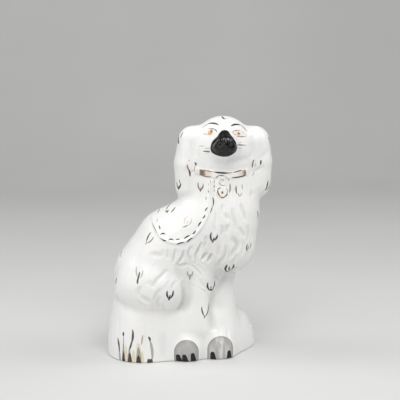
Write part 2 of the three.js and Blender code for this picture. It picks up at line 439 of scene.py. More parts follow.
@dataclass(frozen=True)
class Locks:
    """The deeper locks of the coat, placed one by one as the modeller cut them."""

    chest: tuple[Furrow, ...] = (
        Furrow(((38.5, 192), (36.5, 186), (35.5, 179)), 3.6, -0.9),
        Furrow(((39.5, 182), (42.5, 177.5), (46, 174.5)), 4.2, -1.2),
        Furrow(((49, 188), (49.5, 180), (51.5, 171.5), (53.5, 160.5)), 3.8, -1.4),
        Furrow(((59.5, 192), (61.5, 186), (63.5, 180), (65, 171.5)), 3.6, -1.5),
        Furrow(((43.5, 169), (42.5, 163.5), (40.5, 158.5)), 4.2, -1.7),
        Furrow(((37, 168), (37, 161), (35.5, 153.5)), 3.8, -1.5),
        Furrow(((57, 164.5), (61, 157.5), (65, 151.5)), 3.8, -1.5),
        Furrow(((47, 152), (51, 149), (55, 144), (54, 138.5), (50, 133.5), (45, 127)), 4.8, -2.3),
        Furrow(((42, 143.5), (41.5, 135), (39, 127.5), (34.5, 120.5), (32, 112)), 3.9, -2.2),
        Furrow(((46.5, 140), (45.5, 132.5), (44, 124.5)), 2.2, -1.0),
        Furrow(((33, 143.5), (32.5, 129)), 3.4, -1.1),
        Furrow(((68, 166), (70, 156), (69, 146)), 3.9, -0.9),
        Furrow(((63, 148), (63.5, 139), (60, 130)), 4.2, -1.0),
        Furrow(((72, 145), (71, 134), (66, 124)), 4.2, -0.8),
        Furrow(((56, 133), (52.5, 124), (47, 116)), 3.9, -1.1),
        Furrow(((58.5, 111), (53, 109.5), (48.5, 103)), 3.9, -1.9),
        Furrow(((19, 154.5), (17, 145.5)), 3.9, -1.2),
        Furrow(((26, 172), (27, 163), (25, 155)), 3.6, -0.7),
        Furrow(((28, 186), (29.5, 178), (29, 170)), 3.3, -0.6),
    )
    fringe: tuple[Furrow, ...] = (
        Furrow(((-50, 132), (-42, 132), (-34, 131.5)), 5.2, -1.2),
        Furrow(((-34, 139), (-34, 129.5)), 2.4, -1.0),
        Furrow(((-28.5, 139), (-29, 128)), 2.2, -1.7),
        Furrow(((-18.5, 139.5), (-20.5, 132), (-22.5, 121.5)), 2.7, -2.2),
        Furrow(((-9, 137.5), (-10.5, 129.5), (-16.5, 120)), 2.9, -2.7),
        Furrow(((-19.5, 121), (-15, 118.5), (-9, 118.5), (-3.5, 120.5)), 3.6, -2.0),
        Furrow(((2, 142), (-2.5, 136), (-3, 130), (0.5, 123)), 2.7, -1.8),
        Furrow(((13.5, 146.5), (8, 135.5), (5.5, 129.5), (6.5, 120.5)), 2.6, -2.5),
        Furrow(((18, 148), (15.5, 139.5)), 3.0, -1.1),
        Furrow(((20, 133), (16, 129), (12.5, 123.5)), 3.0, -3.1),
        Furrow(((25, 132), (23, 127.5), (20, 120.5)), 2.6, -2.8),
        Furrow(((-24, 138), (-25, 127)), 2.5, -0.8),
        Furrow(((-13.5, 138.5), (-15.5, 130)), 2.4, -0.6),
    )
    haunch: tuple[Furrow, ...] = (
        Furrow(((-30, 114), (-36, 107.5), (-43, 101.5), (-48, 94)), 3.9, -2.4),
        Furrow(((-18.5, 100), (-22, 96), (-24.5, 91)), 3.2, -1.2),
        Furrow(((-37.5, 93.5), (-42, 87.5), (-46.5, 77)), 3.6, -2.0),
        Furrow(((-36.5, 83), (-40.5, 76), (-39, 66)), 3.9, -1.5),
        Furrow(((-47, 79), (-47, 61.5)), 2.5, -0.9),
        Furrow(((-61, 96.5), (-64, 89.5), (-63.5, 83.5)), 3.9, -1.4),
        Furrow(((-66.5, 83), (-61, 77.5), (-56.5, 74), (-51.5, 72.5)), 3.6, 1.1),
        Furrow(((-61.5, 84), (-55, 79.5), (-48, 76.5)), 4.0, -1.4),
        Furrow(((-49.5, 103), (-52.5, 96.5)), 3.9, -0.9),
        Furrow(((-35.5, 75), (-34, 66.5), (-30, 60)), 3.0, -0.9),
        Furrow(((-17, 118), (-15.5, 108), (-11.5, 99)), 6.5, -1.3),
    )
    hock_edge: tuple[Furrow, ...] = (
        Furrow(((-11.5, 99), (-9, 88), (-8.5, 77), (-11, 67), (-17, 60)), 4.2, -2.4),
        Furrow(((-31, 112.5), (-38, 104.5), (-45.5, 98)), 4.7, 0.7),
        Furrow(((-27.5, 104), (-35, 97), (-43.5, 87), (-49, 80)), 4.4, 0.9),
        Furrow(((-42.5, 90), (-47.5, 82), (-50.5, 74)), 3.8, 0.6),
        Furrow(((-31, 89), (-36, 80), (-37, 70)), 4.2, 0.6),
    )
    leg: tuple[Furrow, ...] = (
        Furrow(((-7, 118), (1, 111.5), (8, 105)), 2.2, 0.45),
        Furrow(((1, 119), (10, 112.5), (18, 105.5)), 2.1, 0.5),
        Furrow(((14, 118), (21, 113), (27, 108)), 2.1, 0.4),
        Furrow(((0, 107), (8, 101), (15, 94.5)), 2.0, 0.45),
        Furrow(((12, 105), (20, 99.5), (27, 95.5)), 2.0, 0.4),
        Furrow(((7, 95), (14, 89.5), (22, 86)), 2.0, 0.45),
        Furrow(((10, 86), (16, 82.5), (24, 81)), 1.9, 0.35),
        Furrow(((48.5, 106), (42.5, 94.5), (38, 89), (34.5, 83), (31, 77)), 5.2, -2.2),
        Furrow(((30, 82), (27, 70), (25.5, 58), (26, 45), (27, 34)), 7.5, -3.0),
        Furrow(((29, 102), (32.5, 98), (37, 93.5)), 3.4, -1.5),
        Furrow(((24.5, 46), (31.5, 37.5), (36.5, 29)), 2.7, -0.8),
        Furrow(((43, 35), (46.5, 25.5)), 2.7, -0.9),
        Furrow(((-34, 38), (-35, 20), (-34, 2)), 6.9, -0.9),
    )
    head: tuple[Furrow, ...] = (
        Furrow(((75, 272), (75, 260.5), (75.5, 252), (72.5, 244)), 5.4, -1.3),
        Furrow(((72.5, 244.5), (63, 245), (53.5, 244.5), (43.5, 243), (35.5, 243), (28.5, 243.5)), 6.3, -1.0),
        Furrow(((7, 271.5), (5.5, 260), (6, 246.5)), 7.5, -0.8),
        Furrow(((90.5, 233.5), (82, 230), (76.5, 226.5)), 3.6, -1.0),
        Furrow(((97, 254), (90, 247), (83, 243)), 4.5, -0.5),
        Furrow(((97, 222), (91, 211), (83, 203)), 4.8, -0.5),
        Furrow(((73.5, 205), (76, 198)), 4.2, -0.9),
        Furrow(((-14, 262), (-12, 240), (-15, 214)), 5.1, -0.3),
        Furrow(((-5, 258), (-3, 238), (-7, 208)), 5.1, -0.3),
    )

    def every(self) -> tuple[Furrow, ...]:
        """Returns all the locks."""
        return self.chest + self.fringe + self.haunch + self.hock_edge + self.leg + self.head


@dataclass(frozen=True)
class Coat:
    """Everything modelled in low relief: the fur, the collar, the locket and the chain."""

    locks: Locks = Locks()
    hairs: tuple[Comb, ...] = (
        # feathering of the near foreleg
        Comb(((-2.5, 119.5), (14.5, 103.5)), ((5, 126), (24, 108)), 6, -1.6, 1.2, -0.75),
        Comb(((2.5, 105.5), (14.5, 91.5)), ((15, 98.5), (17, 91.5)), 5, -1.4, 1.1, -0.7),
        Comb(((10.5, 87.5), (23.5, 76)), ((11.5, 98), (20.5, 81.5)), 4, -2.2, 1.1, -0.75),
        Comb(((-6, 95), (6, 90)), ((-4, 104), (6, 98)), 4, -1.0, 1.2, -0.5),
        # soft hairs down the chest and the ruff
        Comb(((31, 198), (30, 168)), ((77, 198), (78, 170)), 13, 1.6, 1.7, -0.3),
        Comb(((27, 166), (32, 140)), ((76, 164), (70, 138)), 12, -1.8, 1.7, -0.35),
        Comb(((33, 136), (30, 112)), ((68, 134), (64, 108)), 9, 1.6, 1.7, -0.35),
        Comb(((3, 222), (-2, 198)), ((22, 219), (18, 196)), 6, 1.4, 1.9, -0.3),
        Comb(((49, 219), (51, 199)), ((75, 221), (75, 199)), 7, 1.2, 1.9, -0.3),
        # ears
        Comb(((-15, 258), (-17, 208)), ((10, 252), (8, 206)), 9, 1.2, 1.6, -0.18),
        Comb(((97, 258), (76, 232)), ((96, 222), (77, 200)), 8, 1.8, 1.6, -0.2),
        # rump and haunch
        Comb(((-58, 140), (-66, 118)), ((-40, 128), (-50, 106)), 7, 1.4, 1.6, -0.3),
        Comb(((-70, 124), (-84, 100)), ((-56, 114), (-72, 88)), 6, 1.8, 2.0, -0.22),
        Comb(((-34, 98), (-40, 88)), ((-24, 108), (-32, 94)), 4, -1.2, 1.5, -0.3),
        # skirt of the tail on the base
        Comb(((-97, 54), (-99, 10)), ((-56, 48), (-55, 8)), 9, 0.8, 2.4, -0.35),
    )
    collar_path: tuple[Flat, ...] = (
        (9.5, 229.8), (19, 228.4), (28, 227.3), (38, 226.6), (47, 226.5), (57, 227.3), (67, 228.8),
    )
    chain_path: tuple[Flat, ...] = (
        (25.4, 219.4), (25.4, 208), (25.0, 196.9), (21.4, 182.9), (16.4, 171.2), (8, 159.3),
        (-1.7, 151), (-13.7, 146.6), (-25.6, 147.8), (-35, 152.1), (-40.7, 159.4),
        (-43.8, 168.3), (-45.5, 176),
    )
    collar_half: float = 5.8
    collar_crown: float = 2.0
    collar_height: float = 1.1
    chain_half: float = 3.0
    chain_height: float = 1.9
    band_edge: float = 0.8
    locket: Flat = (36.7, 206.6)
    locket_radius: float = 7.2
    locket_height: float = 1.5
    locket_fullness: float = 0.7
    locket_rim: float = 0.6
    locket_rim_at: float = 0.8
    locket_rim_spread: float = 0.16
    locket_loop: Flat = (37.2, 218)
    loop_radius: float = 4.0
    loop_wire: float = 1.3
    loop_height: float = 0.9
    face: Face = Face()
    toes: tuple[float, ...] = (-11.6, -3.4, 31, 40)
    toe_top: float = 19
    toe_foot: float = -6
    toe_half: float = 1.8
    toe_depth: float = -0.9

    def lift(self, x: np.ndarray, z: np.ndarray) -> np.ndarray:
        """Works out the low relief on the front.

        Args:
            x: Places across the figure, in mm.
            z: Heights, in mm.

        Returns:
            How far each place stands proud, in mm; negative where it is cut in.
        """
        cut = np.zeros_like(x)
        rise = np.zeros_like(x)
        for furrow in self.locks.every():
            line = furrow.lift(x, z)
            cut = np.minimum(cut, line)
            rise = np.maximum(rise, line)
        fine = np.zeros_like(x)
        for comb in self.hairs:
            for furrow in comb.furrows():
                fine = np.minimum(fine, furrow.lift(x, z))
        cut = cut + rise + fine
        collar = Furrow(self.collar_path, self.collar_half, self.collar_crown, False)
        chain = Furrow(self.chain_path, self.chain_half, self.chain_height, False)
        band = np.maximum(np.minimum(collar.lift(x, z), self.collar_height), chain.lift(x, z))
        cut = cut * (1.0 - smooth_step(band, 0.0, self.band_edge))
        return cut + band + self.jewellery(x, z) + self.toe_lines(x, z) + self.face.lift(x, z)

    def jewellery(self, x: np.ndarray, z: np.ndarray) -> np.ndarray:
        """Works out the relief of the locket and of the loop that it hangs from.

        Args:
            x: Places across the figure, in mm.
            z: Heights, in mm.

        Returns:
            The lift of each place, in mm.
        """
        reach = np.hypot(x - self.locket[0], z - self.locket[1]) / self.locket_radius
        dome = self.locket_height * np.maximum(1.0 - reach * reach, 0.0) ** self.locket_fullness
        off_rim = (reach - self.locket_rim_at) / self.locket_rim_spread
        rim = self.locket_rim * np.exp(-(off_rim**2))
        ring = np.hypot(x - self.locket_loop[0], z - self.locket_loop[1])
        loop = self.loop_height * np.exp(-(((ring - self.loop_radius) / self.loop_wire) ** 2))
        return np.maximum(dome + rim, loop)

    def toe_lines(self, x: np.ndarray, z: np.ndarray) -> np.ndarray:
        """Works out the shallow cuts between the toes.

        Args:
            x: Places across the figure, in mm.
            z: Heights, in mm.

        Returns:
            The lift of each place, in mm; negative in a cut.
        """
        cut = np.zeros_like(x)
        for toe in self.toes:
            ends = ((toe, self.toe_top), (toe, self.toe_foot))
            line = Furrow(ends, self.toe_half, self.toe_depth)
            cut = np.minimum(cut, line.lift(x, z))
        return cut


@dataclass
class Figure:
    """The whole moulded dog, cast as a skin of columns and rows round an inner axis."""

    trunk: Trunk = Trunk()
    haunch: Haunch = Haunch()
    base: Base = Base()
    legs: Legs = Legs()
    head: Head = Head()
    coat: Coat = Coat()
    back_plane: float = 46.0
    back_round: float = 14.0
    haunch_fillet: float = 4
    plinth_fillet: float = 4
    mound_fillet: float = 14
    head_fillet: float = 10
    foot_bevel: float = 1.2
    spine: tuple[Point, ...] = (
        (0, -8, 8),
        (60, -2, 8),
        (110, 4, 8),
        (160, 22, 6),
        (200, 40, 4),
        (250, 41.5, 2),
    )
    columns: int = 328
    rows: int = 288
    fine_rows: int = 420
    quick_lattice: tuple[int, int, int] = (200, 176, 260)
    front_crowding: float = 0.4
    pole_tilt: float = math.radians(88.0)
    rising_share: float = 0.82
    first_reach: float = 6.0
    farthest: float = 180.0
    stride: float = 0.88
    strides: int = 44
    slope_reach: float = 0.35
    shelter_reaches: tuple[float, ...] = (5.0, 12.0, 24.0)
    facing_range: Flat = (0.1, 0.4)
    deepest: float = 3.0
    points: np.ndarray = field(default_factory=lambda: np.zeros((0, 0, 3)))
    normals: np.ndarray = field(default_factory=lambda: np.zeros((0, 0, 3)))
    relief: np.ndarray = field(default_factory=lambda: np.zeros((0, 0)))
    shelter: np.ndarray = field(default_factory=lambda: np.zeros((0, 0)))

    def gap(self, points: np.ndarray) -> np.ndarray:
        """Measures points against the uncarved figure.

        Args:
            points: Places in mm, with the three coordinates last.

        Returns:
            The distance of each point, negative inside.
        """
        gap = self.trunk.gap(points)
        gap = press(gap, self.haunch.gap(points), self.haunch_fillet)
        gap = press(gap, self.base.plinth(points), self.plinth_fillet)
        gap = press(gap, self.base.mound(points), self.mound_fillet)
        gap = self.legs.press_on(gap, points)
        gap = press(gap, self.head.gap(points), self.head_fillet)
        return -press(-gap, self.back_plane - points[..., 1], self.back_round)

    def axis(self, height: np.ndarray) -> np.ndarray:
        """Finds the inner axis.

        Args:
            height: Heights, in mm.

        Returns:
            The point of the axis at each height.
        """
        steps = np.array(self.spine)
        x = np.interp(height, steps[:, 0], steps[:, 1])
        y = np.interp(height, steps[:, 0], steps[:, 2])
        return np.stack([x, y, height], -1)

    def rays(self) -> tuple[np.ndarray, np.ndarray]:
        """Lays out the lines that are cast from the axis to the skin.

        Returns:
            Their starts and their directions, fine rows by columns.
        """
        even = np.linspace(0.0, 2.0 * math.pi, self.columns, endpoint=False)
        angle = even - self.front_crowding * np.sin(even)
        straight = round(self.fine_rows * self.rising_share)
        top = self.spine[-1][0]
        heights = np.full(self.fine_rows, float(top))
        heights[:straight] = np.linspace(self.foot_bevel, top, straight, endpoint=False)
        tilt = np.zeros(self.fine_rows)
        tilt[straight:] = np.linspace(0.0, self.pole_tilt, self.fine_rows - straight)
        starts = np.repeat(self.axis(heights)[:, None, :], self.columns, 1)
        across = np.cos(tilt)[:, None]
        up = np.repeat(np.sin(tilt)[:, None], self.columns, 1)
        directions = np.stack([np.sin(angle) * across, -np.cos(angle) * across, up], -1)
        return starts.astype(np.float32), directions.astype(np.float32)

    def cast(self) -> np.ndarray:
        """Follows each line from the axis out to the skin.

        Returns:
            The skin points, fine rows by columns, from the foot to the crown.
        """
        starts, directions = self.rays()
        reach = np.full(starts.shape[:2], self.first_reach, np.float32)
        for _ in range(self.strides):
            left = self.gap(starts + directions * reach[..., None])
            reach = np.minimum(reach - self.stride * left, self.farthest)
        return starts + directions * reach[..., None]

    def spread_rows(self, fine: np.ndarray) -> np.ndarray:
        """Spaces the rows evenly along each column's own outline.

        Args:
            fine: The skin points, fine rows by columns.

        Returns:
            The skin points, rows by columns.
        """
        steps = np.linalg.norm(np.diff(fine, axis=0), axis=-1)
        run = np.concatenate([np.zeros((1, self.columns)), np.cumsum(steps, 0)])
        target = np.linspace(0.0, 1.0, self.rows)
        result = np.zeros((self.rows, self.columns, 3))
        for j in range(self.columns):
            wanted = target * run[-1, j]
            for k in range(3):
                result[:, j, k] = np.interp(wanted, run[:, j], fine[:, j, k])
        return result

    def slopes(self, points: np.ndarray) -> np.ndarray:
        """Works out which way the uncarved figure's skin faces.

        Args:
            points: Places on the skin, in mm.

        Returns:
            The outward direction at each place.
        """
        parts = []
        for k in range(3):
            step = np.zeros(3, np.float32)
            step[k] = self.slope_reach
            parts.append(self.gap(points + step) - self.gap(points - step))
        slope = np.stack(parts, -1)
        return slope / (np.linalg.norm(slope, axis=-1, keepdims=True) + 1e-9)

    def model(self) -> None:
        """Casts the skin and works the low relief into it."""
        bare = self.spread_rows(self.cast()).astype(np.float32)
        self.normals = self.slopes(bare)
        facing = smooth_step(-self.normals[..., 1], *self.facing_range)
        self.relief = self.coat.lift(bare[..., 0], bare[..., 2]) * facing
        self.points = bare + self.normals * self.relief[..., None]
        self.shelter = self.sheltered(bare)

    def sheltered(self, points: np.ndarray) -> np.ndarray:
        """Works out how closed in each point is.

        Args:
            points: Places on the skin, in mm.

        Returns:
            0 in the open, 1 deep in a crease.
        """
        closed = np.zeros(points.shape[:2], np.float32)
        for reach in self.shelter_reaches:
            room = self.gap(points + self.normals * np.float32(reach)) / reach
            closed += np.clip(1.0 - room, 0.0, 1.0) / len(self.shelter_reaches)
        return closed

    def foot(self) -> np.ndarray:
        """Makes the ring on the shelf, drawn in by the bevel.

        Returns:
            Its points, in mm.
        """
        ring = self.points[0].copy()
        axis = self.axis(np.array([0.0]))[0]
        inwards = axis[:2] - ring[:, :2]
        inwards /= np.linalg.norm(inwards, axis=-1, keepdims=True)
        ring[:, :2] += inwards * self.foot_bevel
        ring[:, 2] = 0.0
        return ring

    def build(self) -> bpy.types.Object:
        """Makes the mesh object of the figure.

        Returns:
            The object, in metres in the row frame, with its map for baking.
        """
        self.model()
        rings = np.concatenate([self.foot()[None], self.points])
        count, wide = rings.shape[:2]
        crown = rings[-1].mean(0)
        under = rings[0].mean(0)
        vertices = np.concatenate([rings.reshape(-1, 3), crown[None], under[None]]) + FRAME_SHIFT
        row, col = np.meshgrid(np.arange(count - 1), np.arange(wide), indexing="ij")
        after = (col + 1) % wide
        quads = np.stack(
            [row * wide + col, row * wide + after, (row + 1) * wide + after, (row + 1) * wide + col], -1
        ).reshape(-1, 4)
        last = (count - 1) * wide
        top = [(last + j, last + (j + 1) % wide, count * wide) for j in range(wide)]
        bottom = [((j + 1) % wide, j, count * wide + 1) for j in range(wide)]
        mesh = bpy.data.meshes.new("glazed_spaniel")
        mesh.from_pydata((vertices * MM).tolist(), [], quads.tolist() + top + bottom)
        mesh.update()
        mesh.polygons.foreach_set("use_smooth", [True] * (len(quads) + wide) + [False] * wide)
        self.lay_flat(mesh, count, wide)
        self.mark_depth(mesh, count, wide)
        figure = bpy.data.objects.new("glazed_spaniel", mesh)
        bpy.context.collection.objects.link(figure)
        return figure

    def lay_flat(self, mesh: bpy.types.Mesh, count: int, wide: int) -> None:
        """Gives the mesh a map: the skin as one sheet, the underside as a disc above it.

        Args:
            mesh: The figure's mesh.
            count: The number of rings.
            wide: The number of columns.
        """
        layer = mesh.uv_layers.new(name="OFBake")
        margin, sheet_wide, sheet_tall = 0.01, 0.98, 0.83
        peak, disc_middle, disc_scale = 0.003, (0.3, 0.92), 0.0013
        sides = [(margin + sheet_wide * j / wide, margin + sheet_wide * (j + 1) / wide) for j in range(wide)]
        levels = [margin + sheet_tall * i / count for i in range(count)]
        sheet = []
        for low, high in zip(levels, levels[1:]):
            for left, right in sides:
                sheet += [left, low, right, low, right, high, left, high]
        for left, right in sides:
            sheet += [left, levels[-1], right, levels[-1], (left + right) / 2, margin + sheet_tall + peak]
        ring = np.array([mesh.vertices[j].co[:2] for j in range(wide)]) / MM
        plan = np.array(disc_middle) + ring * disc_scale
        middle = plan.mean(0)
        for j in range(wide):
            sheet += [*plan[(j + 1) % wide], *plan[j], *middle]
        layer.data.foreach_set("uv", sheet)

    def mark_depth(self, mesh: bpy.types.Mesh, count: int, wide: int) -> None:
        """Stores how deep each point is cut and how closed in it is; the glaze is greyed there with painted
        shade.

        Args:
            mesh: The figure's mesh.
            count: The number of rings.
            wide: The number of columns.
        """
        for name, level in (("hollow", -self.relief / self.deepest), ("shelter", self.shelter)):
            depth = np.zeros(count * wide + 2, np.float32)
            depth[wide : count * wide] = np.clip(level, 0.0, 1.0).reshape(-1)
            mesh.attributes.new(name, "FLOAT", "POINT").data.foreach_set("value", depth)


class Tone(Enum):
    """The painter's colours, as places on the palette of the brushwork."""

    PALE_GOLD = 0.0
    GOLD = 0.16
    BRONZE = 0.32
    UMBER = 0.5
    INK = 0.7
    AMBER = 0.8
    HONEY = 0.83
    RUST = 0.87
    STRAW = 0.92
    SMOKE = 0.98


Mark = tuple[Flat, Flat, float, float, Tone]
Dot = tuple[Flat, float, float, Tone]


def read_out(items: bpy.types.bpy_prop_collection, name: str, size: int,
             kind: type = np.float64) -> np.ndarray:
    """Reads one property of a mesh's vertices, corners or faces.

    Args:
        items: The vertices, corners or faces.
        name: The property.
        size: How many numbers each one has.
        kind: The kind of number.

    Returns:
        A row of numbers for each item.
    """
    values = np.zeros(len(items) * size, kind)
    items.foreach_get(name, values)
    return values.reshape(-1, size)


@dataclass(frozen=True)
class Stroke:
    """One touch of the brush on the skin, between two points, seen along a direction."""

    start: np.ndarray
    end: np.ndarray
    facing: np.ndarray
    bow: float
    half: float
    tone: Tone
    flare: float = 0.0

    def measure(self, points: np.ndarray) -> tuple[np.ndarray, np.ndarray]:
        """Measures points against the stroke.

        Args:
            points: Places on the figure, in mm.

        Returns:
            How far along the stroke they lie, and how far across in half-widths.
        """
        along = self.end - self.start
        length = np.linalg.norm(along)
        along = along / length
        across = np.cross(self.facing, along)
        across /= np.linalg.norm(across)
        off = points - self.start
        u = off @ along / length
        side = off @ across - 4.0 * self.bow * u * (1.0 - u)
        width = self.half * (1.0 - self.flare * (1.0 - np.clip(u, 0.0, 1.0)))
        return u, side / width


@dataclass(frozen=True)
class Fleck:
    """A feather mark: two curved arms that meet at the foot, a short stem and a tail."""

    foot: Flat
    lean: float
    width: float
    height: float
    tail: float
    tones: tuple[Tone, Tone, Tone]
    right_arm: float = 1.0
    brush: float = 0.9

    def touches(self) -> list[Mark]:
        """Works out its strokes, from the foot in mm.

        Returns:
            Their ends, bow, half-width and tone.
        """
        w, h = self.width, self.height
        low = (1.0 - self.right_arm) * 0.45
        touches: list[Mark] = [
            ((-w / 2, h), (0.0, -0.3), -0.24 * w, self.brush, self.tones[0]),
            ((w / 2, h * 1.05 * self.right_arm + low * h), (0.3, low * h - 0.2),
             0.24 * w * self.right_arm, self.brush, self.tones[1]),
            ((0.1 * w, 0.5 * h), (-0.04 * w, -0.2), 0.0, self.brush * 0.75, self.tones[0]),
        ]
        if self.tail:
            end = (-0.12 * self.tail, -self.tail)
            touches.append(((0.1, 0.22 * h), end, 0.0, self.brush, self.tones[2]))
        return touches


@dataclass
class Painter:
    """Lays brush strokes on the finished figure and stores them on its mesh."""

    figure: Figure
    slots: int = 4
    backward_limit: float = 0.15
    edge_on: float = 0.15
    spill: float = 1.6
    spare: float = 3.0
    unpainted: float = -9.0
    steepest: float = -0.3
    deepest_step: float = 1.5
    strokes: list[Stroke] = field(default_factory=list)

    def seat(self, x: float, z: float) -> tuple[np.ndarray, np.ndarray]:
        """Finds the place on the front of the skin at a place seen square on.

        Args:
            x: Place across the figure, in mm.
            z: Height, in mm.

        Returns:
            The point and the outward direction there.
        """
        points, normals = self.figure.points, self.figure.normals
        off = (points[..., 0] - x) ** 2 + (points[..., 2] - z) ** 2
        off = off + np.where(normals[..., 1] < self.backward_limit, 0.0, CLEAR)
        best = np.unravel_index(np.argmin(off), off.shape)
        point, facing = points[best].astype(float), normals[best].astype(float)
        lean = facing[0] * (x - point[0]) + facing[2] * (z - point[2])
        deeper = -lean / min(facing[1], self.steepest)
        deeper = np.clip(deeper, -self.deepest_step, self.deepest_step)
        return np.array([x, point[1] + deeper, z]), facing

    @staticmethod
    def upward(facing: np.ndarray) -> np.ndarray:
        """Returns the direction up along the skin."""
        up = np.array([0.0, 0.0, 1.0]) - facing * facing[2]
        return up / np.linalg.norm(up)

    def stroke(self, start: Flat, end: Flat, bow: float, half: float, tone: Tone,
               flare: float = 0.0) -> None:
        """Lays one stroke between two places on the front.

        Args:
            start: Where it starts, across and up, in mm.
            end: Where it ends.
            bow: How far it bends to the side.
            half: Half its width.
            tone: Its colour.
            flare: How much narrower it starts than it ends, as a share.
        """
        first, facing_a = self.seat(*start)
        last, facing_b = self.seat(*end)
        facing = facing_a + facing_b
        facing = facing / np.linalg.norm(facing)
        self.strokes.append(Stroke(first, last, facing, bow, half, tone, flare))

    def dot(self, place: Flat, wide: float, tall: float, tone: Tone) -> None:
        """Lays one round or oval touch.

        Args:
            place: Its middle, across and up, in mm.
            wide: Half its width.
            tall: Half its height.
            tone: Its colour.
        """
        point, facing = self.seat(*place)
        up = self.upward(facing)
        self.strokes.append(Stroke(point - up * tall, point + up * tall, facing, 0.0, wide, tone))

    def fleck(self, fleck: Fleck) -> None:
        """Lays one feather mark.

        Args:
            fleck: The mark.
        """
        lean = math.radians(fleck.lean)
        tall = np.array([math.sin(lean), math.cos(lean)])
        wide = np.array([math.cos(lean), -math.sin(lean)])
        for start, end, bow, half, tone in fleck.touches():
            first = np.array(fleck.foot) + start[0] * wide + start[1] * tall
            last = np.array(fleck.foot) + end[0] * wide + end[1] * tall
            self.stroke(tuple(first), tuple(last), bow, half, tone)

    def store(self, mesh: bpy.types.Mesh) -> int:
        """Stores the strokes on the mesh's corners, up to four on a face.

        Args:
            mesh: The figure's mesh.

        Returns:
            The number of faces that carry paint.
        """
        corner_vertex = read_out(mesh.loops, "vertex_index", 1, np.int64)[:, 0]
        places = read_out(mesh.vertices, "co", 3) / MM - FRAME_SHIFT
        starts = read_out(mesh.polygons, "loop_start", 1, np.int64)[:, 0]
        totals = read_out(mesh.polygons, "loop_total", 1, np.int64)[:, 0]
        facing = read_out(mesh.polygons, "normal", 3)
        centres = read_out(mesh.polygons, "center", 3) / MM - FRAME_SHIFT
        taken = np.zeros(len(totals), np.int64)
        layers = np.zeros((self.slots, len(corner_vertex), 3), np.float32)
        layers[:, :, 0] = self.unpainted
        for stroke in self.strokes:
            length = np.linalg.norm(stroke.end - stroke.start)
            reach = length / 2 + abs(stroke.bow) + stroke.half + self.spare
            near = np.linalg.norm(centres - (stroke.start + stroke.end) / 2, axis=1) < reach
            free = near & (facing @ stroke.facing > self.edge_on) & (taken < self.slots)
            chosen = np.nonzero(free)[0]
            u, q = stroke.measure(centres[chosen])
            inside = np.abs(q) < 1.0 + self.spill / stroke.half / (1.0 - stroke.flare)
            chosen = chosen[inside & (u > -self.spill / length) & (u < 1 + self.spill / length)]
            size = totals[chosen]
            step = np.arange(4)[None, :]
            corners = (starts[chosen][:, None] + step)[step < size[:, None]]
            slot = np.repeat(taken[chosen], size)
            u, q = stroke.measure(places[corner_vertex[corners]])
            layers[slot, corners] = np.stack([u, q, np.full_like(u, stroke.tone.value)], -1)
            taken[chosen] += 1
        for k in range(self.slots):
            layer = mesh.attributes.new(f"brush_{k}", "FLOAT_VECTOR", "CORNER")
            layer.data.foreach_set("vector", layers[k].reshape(-1))
        return int((taken > 0).sum())


